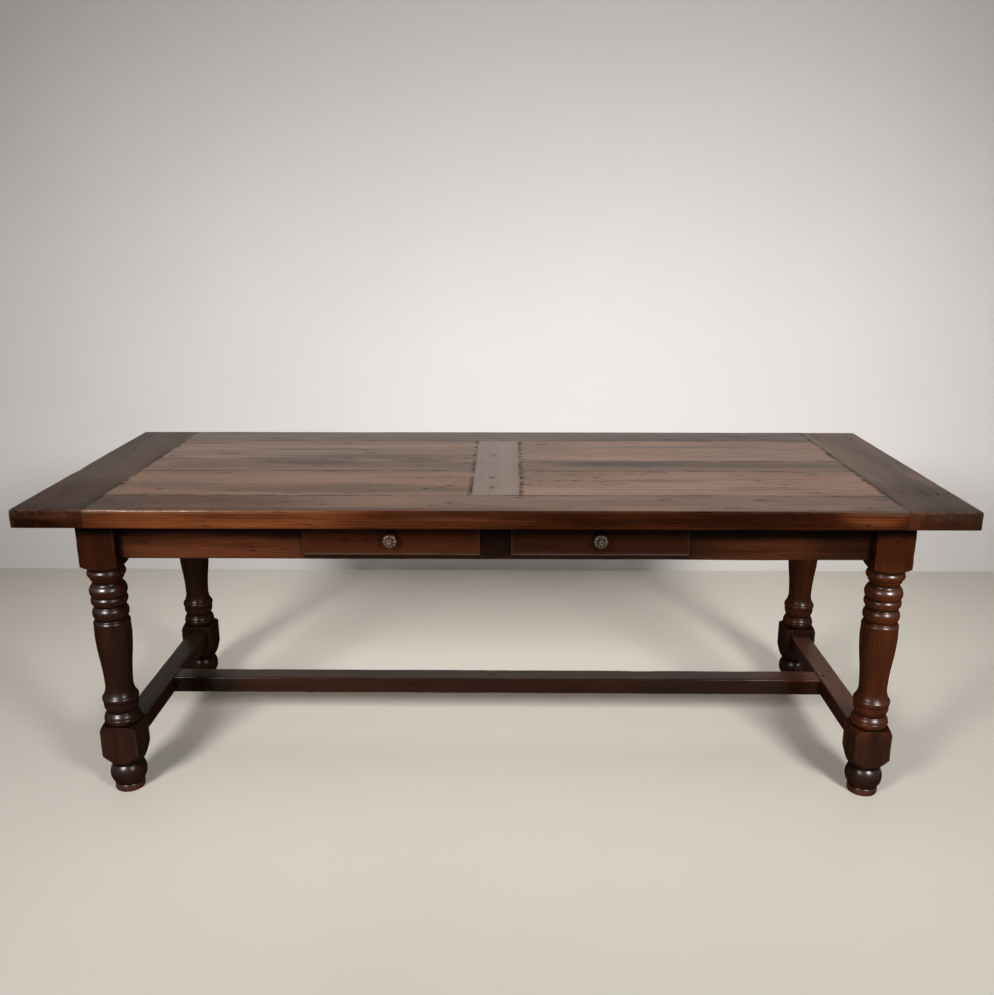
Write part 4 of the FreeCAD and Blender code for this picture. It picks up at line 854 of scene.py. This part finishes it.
for number, drawer in enumerate(drawers):
    low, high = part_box(f"{drawer}_front")
    lip, fine, edge = drawerFront["round"], drawerFront["fine"], drawerFront["plugEdge"]
    lipBack = low.y + drawerFront["lipDepth"]
    # Wear on the lower and end edges is partly painted highlight; the top edge, in shade, stays plain.
    face = makeBoard(
        f"{drawer}_front_worn", "x", low.x, high.x, (low.y, lipBack, low.z, high.z), endRound=lip,
        radii=(lip, fine, fine, lip), cornerMarks=("wear", "grime", "grime", "plain"), endMark="wear",
        endInset=(1, 0, 0, 0), chip=fine, wave=(0.0003, 0, 0.0003, 0.0003), markReach=0.0022,
        seed=91 + number)
    gap = drawerFront["lip"] + drawerFront["sideGap"] + drawerFront["plugInset"]
    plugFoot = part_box(f"{drawer}_left_side")[0].z
    plugHead = high.z - drawerFront["lip"] - drawerFront["headGap"]
    plugBox = (lipBack, high.y, plugFoot, plugHead)
    plug = makeBoard(f"{drawer}_front_plug", "x", low.x + gap, high.x - gap, plugBox, radii=(edge,) * 4,
                     endRound=edge, seed=95 + number)
    shade = (((low.x + high.x) / 2, low.y, high.z - 0.012), (2.0, 0.05, 0.030), 0.3, shadeBlack)
    frontOak = makeOak(f"{drawer}_front_oak", stains=[shade], **{**frontWood, **drawerLooks[drawer]})
    dress(face, frontOak, "base_wood", drawer, f"{drawer}_front")
    dress(plug, liningX, "lining_wood", drawer)
print("drawer fronts made")


def reclothe(name, material):
    for slot in nodes[name].material_slots:
        slot.material = material


for drawer in drawers:
    for part in ("left_side", "right_side", "runner_left", "runner_right"):
        reclothe(f"{drawer}_{part}", liningY)
    for part in ("back", "bottom"):
        reclothe(f"{drawer}_{part}", liningX)
for name in ("centre_bearer", "drawer_kickers"):
    reclothe(name, liningY)


# Pegs and petals are grown by Geometry Nodes from marked points
def newGrowth(name, sockets):
    tree = bpy.data.node_groups.new(name, "GeometryNodeTree")
    tree.interface.new_socket("Points", in_out="INPUT", socket_type="NodeSocketGeometry")
    tree.interface.new_socket("Grown", in_out="OUTPUT", socket_type="NodeSocketGeometry")
    for label, kind in sockets.items():
        tree.interface.new_socket(label, in_out="INPUT", socket_type=f"NodeSocket{kind}")
    return tree, putNode(tree, "NodeGroupInput").outputs, putNode(tree, "NodeGroupOutput").inputs


def grow(name, tree, points, vectors, settings):
    mesh = bpy.data.meshes.new(name)
    mesh.from_pydata(points, [], [])
    for mark, values in vectors.items():
        flat = [part for value in values for part in value]
        mesh.attributes.new(mark, "FLOAT_VECTOR", "POINT").data.foreach_set("vector", flat)
    piece = linked(name, mesh)
    modifier = piece.modifiers.new(name, "NODES")
    modifier.node_group = tree
    for socket in tree.interface.items_tree:
        if socket.in_out == "INPUT" and socket.name in settings:
            modifier[socket.identifier] = settings[socket.name]
    evaluated = bpy.context.evaluated_depsgraph_get()
    grown = bpy.data.meshes.new_from_object(piece.evaluated_get(evaluated), preserve_all_data_layers=True,
                                            depsgraph=evaluated)
    piece.modifiers.clear()
    piece.data = grown
    return piece


def marked(tree, name):
    kind = {"data_type": "FLOAT_VECTOR"}
    return putNode(tree, "GeometryNodeInputNamedAttribute", kind, {"Name": name}).outputs[0]


def storeMark(geometry, name, value):
    links = {"Geometry": geometry, "Value": value}
    return outOf("GeometryNodeStoreNamedAttribute", links, {"Name": name},
                 {"data_type": "FLOAT", "domain": "POINT"})


def turnedTo(axis, vector):
    return outOf("FunctionNodeAlignRotationToVector", {"Vector": vector}, None, {"axis": axis})


def changed(geometry, **links):
    return outOf("GeometryNodeTransform", {"Geometry": geometry, **links})


def reshaped(geometry, x, y, z):
    place = outOf("ShaderNodeCombineXYZ", {0: x, 1: y, 2: z})
    return outOf("GeometryNodeSetPosition", {"Geometry": geometry, "Position": place})


def planted(points, instance, rotation, **links):
    return outOf("GeometryNodeInstanceOnPoints",
                 {"Points": points, "Instance": instance, "Rotation": rotation, **links})


def ended(geometry, material, outlet):
    give(outlet[0], outOf("GeometryNodeSetMaterial", {"Geometry": geometry, "Material": material}))


def placeParts(tree):
    spot = putNode(tree, "GeometryNodeInputPosition").outputs[0]
    return spot, putNode(tree, "ShaderNodeSeparateXYZ", None, None, {0: spot}).outputs


pegShape = {"sides": 14, "dome": 0.008, "domePower": 3.0, "rimPower": 8.0, "tip": (-1.0, -0.5, 0.72, 1.0),
            "wholeTurn": 6.28, "sink": 0.0002}


def makePegTree():
    tree, inlet, outlet = newGrowth("pegGrowth", {
        "Sides": "Int", "Seed": "Int", "Dome": "Float", "Wood": "Material"})
    stick = outOf("GeometryNodeMeshCylinder", {"Vertices": inlet["Sides"]},
                  {"Side Segments": 6, "Fill Segments": 4, "Radius": 1.0, "Depth": 1.0},
                  {"fill_type": "TRIANGLE_FAN"})
    sunk = outOf("GeometryNodeTransform", {"Geometry": stick}, {"Translation": (0, 0, -0.5)})
    parts = placeParts(tree)[1]
    reach = lengthOf(outOf("ShaderNodeCombineXYZ", {0: parts[0], 1: parts[1]}))
    taper = spread(parts[2], *pegShape["tip"])
    lowered = minus(parts[2], times(calc("POWER", reach, pegShape["domePower"]), inlet["Dome"]))
    rimmed = storeMark(sunk, "grime", calc("POWER", reach, pegShape["rimPower"]))
    peg = reshaped(rimmed, times(parts[0], taper), times(parts[1], taper), lowered)
    chance = putNode(tree, "FunctionNodeRandomValue", {"data_type": "FLOAT"}, None, {"Seed": inlet["Seed"]})
    drawn = next(socket for socket in chance.outputs if socket.enabled)
    spin = outOf("ShaderNodeCombineXYZ", {2: times(drawn, pegShape["wholeTurn"])})
    turn = outOf("FunctionNodeRotateRotation",
                 {"Rotation": turnedTo("Z", marked(tree, "facing")), "Rotate By": spin}, None,
                 {"rotation_space": "LOCAL"})
    pegs = planted(inlet["Points"], peg, turn, Scale=marked(tree, "size"))
    ended(outOf("GeometryNodeRealizeInstances", {0: pegs}), inlet["Wood"], outlet)
    return tree


signs = [(sx, sy) for sx in (-1, 1) for sy in (-1, 1)]
apronPegHeights = (0.656, 0.699)
pegPlan = {     # place, direction, radius, length
    "top_pegs": [((sx * 0.948, sy * 0.316, level), (0, 0, 1), 0.0050, 0.084) for sx, sy in signs]
                + [(place, (0, 0, 1), 0.0040, 0.069) for place in muntinPegs],
    "apron_pegs": [((sx * 0.910, sy * 0.361, z), (0, sy, 0), 0.0045, 0.050)
                   for sx, sy in signs for z in apronPegHeights]
                  + [((sx * 0.985, sy * 0.286, z), (sx, 0, 0), 0.0045, 0.050)
                     for sx, sy in signs for z in apronPegHeights],
    "stretcher_pegs": [((sx * 0.985, sy * 0.291, 0.141), (sx, 0, 0), 0.0050, 0.056) for sx, sy in signs]
                      + [((sx * 0.926, 0.0, 0.164), (0, 0, 1), 0.0050, 0.036) for sx in (-1, 1)],
}
pegWood = {**baseOak, "grain": "z", "pale": (0.020, 0.009, 0.005), "dark": (0.008, 0.004, 0.0025),
           "rough": (0.4, 0.6), "coat": 0.0}
pegTree = makePegTree()
for number, (name, pegs) in enumerate(pegPlan.items()):
    facing = [direction for place, direction, *rest in pegs]
    size = [(radius, radius, length) for place, direction, radius, length in pegs]
    places = [[p - pegShape["sink"] * d for p, d in zip(place, direction)]
              for place, direction, *rest in pegs]
    wood = makeOak(f"{name}_oak", shift=(0.1 * number, 0.2, 0.3), **pegWood)
    grown = grow(f"{name}_cut", pegTree, places, {"facing": facing, "size": size},
                 {"Sides": pegShape["sides"], "Seed": 3 + number, "Dome": pegShape["dome"], "Wood": wood})
    dress(grown, None, "peg_wood", "table", name)
print("pegs grown")

# Knobs: a cast rosette, its body turned here and its petals grown round it
knobShape = {
    "outline": [     # radius and height above the drawer's face, in millimetres
        (0, 0.1), (11.6, 0.1), (12, 0.8), (11.4, 1.9), (9.6, 2.4), (6.6, 3), (5.6, 4.4), (5.5, 9.5),
        (6.4, 12), (9.5, 13.2), (14, 14), (16.4, 15.2), (17, 17), (16.4, 18.8), (15, 20.4), (13.4, 21.6),
        (12.2, 22.3), (11.2, 22.7), (10.4, 22.9), (9.6, 23), (8.8, 23.2), (8.1, 23.6), (7.4, 24.6), (7, 26.4),
        (6.8, 28.4), (6.2, 30.2), (5.2, 31.3), (4, 31.8), (2.9, 31.4), (2.1, 30.4), (1, 29.9), (0, 29.8)],
    "rubbedWear": 0.9, "plainWear": 0.45, "darkGrime": 0.8, "hollowGrime": 0.25,
    "segments": 72, "headFrom": 0.0135, "rubbedFrom": 0.0286, "dimpleFrom": 0.029, "dimpleReach": 0.0022,
    "hollowReach": 9.7, "hollowWidth": 1.9, "hollowDepth": 2.4,     # dark hollows between the petals
    "petals": 10, "petalReach": 0.0132, "petalSize": (0.0047, 0.0043, 0.0027), "petalLift": 0.0206,
    "petalTilt": 0.55, "petalWidth": (0.30, 0.70), "petalHollow": (0.0, 0.20, 0.62, 1.0),
    "petalWear": (0.1, 0.9), "petalGrime": (-0.1, -0.7),
    "beadReach": 0.0074, "beadSize": (0.0024, 0.0019, 0.0020), "beadLift": 0.0262,
}


brassSkin = {"mottle": (260.0, 260.0, 4.0, 0.65), "pits": (900.0, 900.0, 2.0), "rubbed": (0.25, 0.65),
             "dirtShow": 0.85, "dirtColour": (0.014, 0.008, 0.005), "rough": (0.3, 1.2, 0.30, 0.75),
             "relief": (0.4, 0.0003), "metallic": 0.8}


def makeBrass(name, tarnished, bare):
    material, shader, spot = newMaterial(name)
    tree = material.node_tree
    mottle, pits = cloud(spot, *brassSkin["mottle"]), cloud(spot, *brassSkin["pits"])
    rubbed = times(pieceMark(tree, "wear"), spread(mottle, *brassSkin["rubbed"]), clamp=True)
    dirt = times(pieceMark(tree, "grime"), brassSkin["dirtShow"], clamp=True)
    colour = blendColour(dirt, blendColour(rubbed, tarnished, bare), brassSkin["dirtColour"])
    feed(shader, {
        "Base Color": colour, "Roughness": spread(plus(mottle, dirt), *brassSkin["rough"]),
        "Normal": roughened(pits, *brassSkin["relief"]), "Metallic": brassSkin["metallic"]})
    return material


def makePetalTree():
    tree, inlet, outlet = newGrowth("petalGrowth", {
        "Count": "Int", "Reach": "Float", "Metal": "Material",
        "Size": "Vector", "Lift": "Vector", "Tilt": "Vector"})
    roundBall = {"Segments": 24, "Rings": 14, "Radius": 1.0}
    ball = putNode(tree, "GeometryNodeMeshUVSphere", None, roundBall).outputs[0]
    spot, parts = placeParts(tree)
    flare, width = knobShape["petalWidth"]
    widening = plus(times(parts[0], flare), width)
    hollow = spread(times(parts[1], parts[1]), *knobShape["petalHollow"])
    rubbed = storeMark(ball, "wear", spread(parts[2], *knobShape["petalWear"]))
    deep = storeMark(rubbed, "grime", spread(parts[2], *knobShape["petalGrime"]))
    petal = reshaped(deep, parts[0], times(parts[1], widening), times(parts[2], hollow))
    leaned = changed(changed(petal, Scale=inlet["Size"]), Rotation=inlet["Tilt"])
    ring = outOf("GeometryNodeMeshCircle", {"Vertices": inlet["Count"], "Radius": inlet["Reach"]})
    petals = planted(ring, leaned, turnedTo("X", spot))
    lifted = changed(petals, Translation=inlet["Lift"])
    knobs = planted(inlet["Points"], lifted, turnedTo("Z", marked(tree, "facing")))
    real = outOf("GeometryNodeRealizeInstances", {0: knobs})
    ended(outOf("GeometryNodeSetShadeSmooth", {0: real}), inlet["Metal"], outlet)
    return tree


def makeKnobBody(name, centre, shape):
    segments = shape["segments"]
    centreX, faceY, centreZ = centre
    points, faces, rings = [], [], []
    marks = {"wear": [], "grime": []}
    for outlineRadius, outlineHeight in shape["outline"]:
        radius, height = outlineRadius / 1000, outlineHeight / 1000
        onHead = height > shape["headFrom"]
        offHollow = (outlineRadius - shape["hollowReach"]) / shape["hollowWidth"]
        hollow = math.exp(-offHollow ** 2) if onHead else 0.0
        inDimple = height > shape["dimpleFrom"] and radius < shape["dimpleReach"]
        dark = shape["darkGrime"] if inDimple or not onHead else 0.0
        wear = shape["rubbedWear"] if height > shape["rubbedFrom"] else shape["plainWear"]
        least = shape["hollowGrime"]
        count = segments if radius else 1
        rings.append((len(points), count))
        for step in range(count):
            turn = 2 * math.pi * step / count
            gap = (0.5 - 0.5 * math.cos(shape["petals"] * turn)) ** 2     # between two petals
            raised = height - 0.001 * shape["hollowDepth"] * hollow * gap
            across, up = radius * math.cos(turn), radius * math.sin(turn)
            points.append((centreX + across, faceY - raised, centreZ + up))
            marks["wear"].append(wear)
            marks["grime"].append(max(hollow * (least + (1 - least) * gap), dark))
    for (start, count), (following, nextCount) in zip(rings, rings[1:]):
        for step in range(segments):
            one, two = start + step % count, start + (step + 1) % count
            three, four = following + (step + 1) % nextCount, following + step % nextCount
            faces.append(tuple(dict.fromkeys((one, two, three, four))))
    return addPiece(name, points, faces, marks, 60)


brassLooks = {     # tarnished and rubbed colour
    "left_drawer": ((0.056, 0.032, 0.021), (0.215, 0.148, 0.106)),
    "right_drawer": ((0.026, 0.017, 0.012), (0.150, 0.111, 0.085)),
}
petalTree = makePetalTree()
for drawer, colours in brassLooks.items():
    brass = makeBrass(f"{drawer}_brass", *colours)
    low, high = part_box(f"{drawer}_knob")
    centre = ((low.x + high.x) / 2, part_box(f"{drawer}_front")[0].y, (low.z + high.z) / 2)
    body = makeKnobBody(f"{drawer}_knob_body", centre, knobShape)
    dress(body, brass, "aged_brass", drawer, f"{drawer}_knob")
    for kind in ("petal", "bead"):
        grown = grow(f"{drawer}_knob_{kind}s", petalTree, [centre], {"facing": [(0, -1, 0)]}, {
            "Count": knobShape["petals"], "Reach": knobShape[f"{kind}Reach"], "Metal": brass,
            "Size": knobShape[f"{kind}Size"], "Lift": (0.0, 0.0, knobShape[f"{kind}Lift"]),
            "Tilt": (0.0, knobShape["petalTilt"], 0.0)})
        dress(grown, None, "aged_brass", drawer)


steelSkin = {"rust": (180.0, 180.0, 4.0, 0.7), "rusted": (0.50, 0.66), "rough": (0.3, 0.7, 0.35, 0.7),
             "colours": ((0.30, 0.29, 0.28), (0.10, 0.05, 0.03)), "relief": (0.3, 0.0002), "metallic": 0.9}


def makeSteel(name):
    material, shader, spot = newMaterial(name)
    rust = cloud(spot, *steelSkin["rust"])
    feed(shader, {
        "Base Color": blendColour(spread(rust, *steelSkin["rusted"]), *steelSkin["colours"]),
        "Roughness": spread(rust, *steelSkin["rough"]),
        "Normal": roughened(rust, *steelSkin["relief"]), "Metallic": steelSkin["metallic"]})
    return material


steel = makeSteel("screwSteel")
for drawer in drawers:
    reclothe(f"{drawer}_knob_screw", steel)
print("knobs and screws dressed")

# Camera, from the corners of the top, the leg blocks and the feet
camera = {"lens": 35.228, "place": (0.03585, -2.5292, 1.3933), "pitch": 15.64, "yaw": 0.74, "roll": -0.06}
eye = linked("camera", bpy.data.cameras.new("camera"))
eye.data.lens = camera["lens"]
eye.matrix_world = (Matrix.Translation(camera["place"]) @ Matrix.Rotation(math.radians(camera["yaw"]), 4, "Z")
                    @ Matrix.Rotation(math.radians(90 - camera["pitch"]), 4, "X")
                    @ Matrix.Rotation(math.radians(camera["roll"]), 4, "Z"))
scene.camera = eye

# Stage: pale floor and wall, clear from behind. Fades, which paint light falloff: axis, from, to, and the
# shares at both.
stage = {"wallY": 1.32, "reach": 7.0, "height": 4.5,
         "floorColour": (0.64, 0.595, 0.525), "wallColour": (0.755, 0.727, 0.708),
         # Painted light falloff: the floor darker towards the front and the left and brighter towards the
         # wall; the wall darker towards its top and its left.
         "floorFades": [(1, 0.1, 1.0, 1.0, 1.12), (1, -1.3, -0.3, 0.88, 1.0), (0, -1.7, -0.6, 0.88, 1.0)],
         "wallFades": [(2, 1.0, 2.3, 1.0, 0.84), (0, -1.7, 1.7, 0.86, 1.05)]}


def makeStage(name, corners):
    mesh = bpy.data.meshes.new(name)
    mesh.from_pydata(corners, [], [(0, 1, 2, 3)])
    sheet = linked(name, mesh)
    material, shader, spot = newMaterial(name)
    tree = material.node_tree
    parts = putNode(tree, "ShaderNodeSeparateXYZ", None, None, {0: spot}).outputs
    shade = spread(cloud(spot, 1.5, 1.5, 4.0), 0.0, 1.0, 0.97, 1.03)
    for axis, low, high, atLow, atHigh in stage[f"{name}Fades"]:
        shade = times(shade, spread(parts[axis], low, high, atLow, atHigh))
    colour = blendColour(1.0, stage[f"{name}Colour"], greyOf(shade), "MULTIPLY")
    feed(shader, {"Base Color": colour, "Roughness": 0.6, "Specular IOR Level": 0.3})
    fromBehind = putNode(tree, "ShaderNodeNewGeometry").outputs["Backfacing"]     # never hides the table
    clear = putNode(tree, "ShaderNodeBsdfTransparent").outputs[0]
    surface = outOf("ShaderNodeMixShader", {0: fromBehind, 1: shader.outputs[0], 2: clear})
    give(tree.nodes["Material Output"].inputs[0], surface)
    mesh.materials.append(material)


wide, wallY, tall = stage["reach"], stage["wallY"], stage["height"]
makeStage("floor", [(-wide, -wide, 0), (wide, -wide, 0), (wide, wide, 0), (-wide, wide, 0)])
makeStage("wall", [(-wide, wallY, 0), (wide, wallY, 0), (wide, wallY, tall), (-wide, wallY, tall)])

# Two soft lamps in front of the table's ends, and weak broad light from overhead, the back and the front
lamps = {     # place, aim, size, watts and spread in degrees
    "left": ((-1.9, -3.0, 2.2), (-0.4, 0.3, 0.35), (0.8, 0.8), 35, 92),
    "right": ((1.9, -3.0, 2.2), (0.4, 0.3, 0.35), (0.8, 0.8), 35, 92),
    "overhead": ((0.0, -0.6, 3.6), (0.0, -0.2, 0.0), (3.6, 1.8), 6, 120),
    "behind": ((0.0, 0.85, 3.2), (0.0, 0.85, 0.0), (3.4, 0.5), 2, 45),
    "front": ((0.0, -4.6, 1.0), (0.0, 0.0, 0.5), (4.0, 1.6), 4, 150),
}
skyLight = {"colour": (0.96, 0.96, 0.97, 1), "onTheTable": 0.05, "asBackground": 0.25}     # and strengths
for side, (place, aim, size, watts, spreadAngle) in lamps.items():
    light = bpy.data.lights.new(f"lamp_{side}", "AREA")
    light.shape = "RECTANGLE"
    light.size, light.size_y = size
    light.energy = watts
    light.spread = math.radians(spreadAngle)
    item = linked(f"lamp_{side}", light)
    item.location = place
    item.rotation_euler = (Vector(aim) - Vector(place)).to_track_quat("-Z", "Y").to_euler()
world = bpy.data.worlds.new("sky")
world.use_nodes = True
sky = world.node_tree
background = sky.nodes["Background"].inputs
background[0].default_value = skyLight["colour"]
ray = putNode(sky, "ShaderNodeLightPath").outputs
seen = calc("MAXIMUM", ray["Is Glossy Ray"], ray["Is Transmission Ray"])
seen = calc("MAXIMUM", ray["Is Camera Ray"], seen)
give(background[1], spread(seen, 0.0, 1.0, skyLight["onTheTable"], skyLight["asBackground"]))
scene.world = world
print("stage, lamps and camera set")
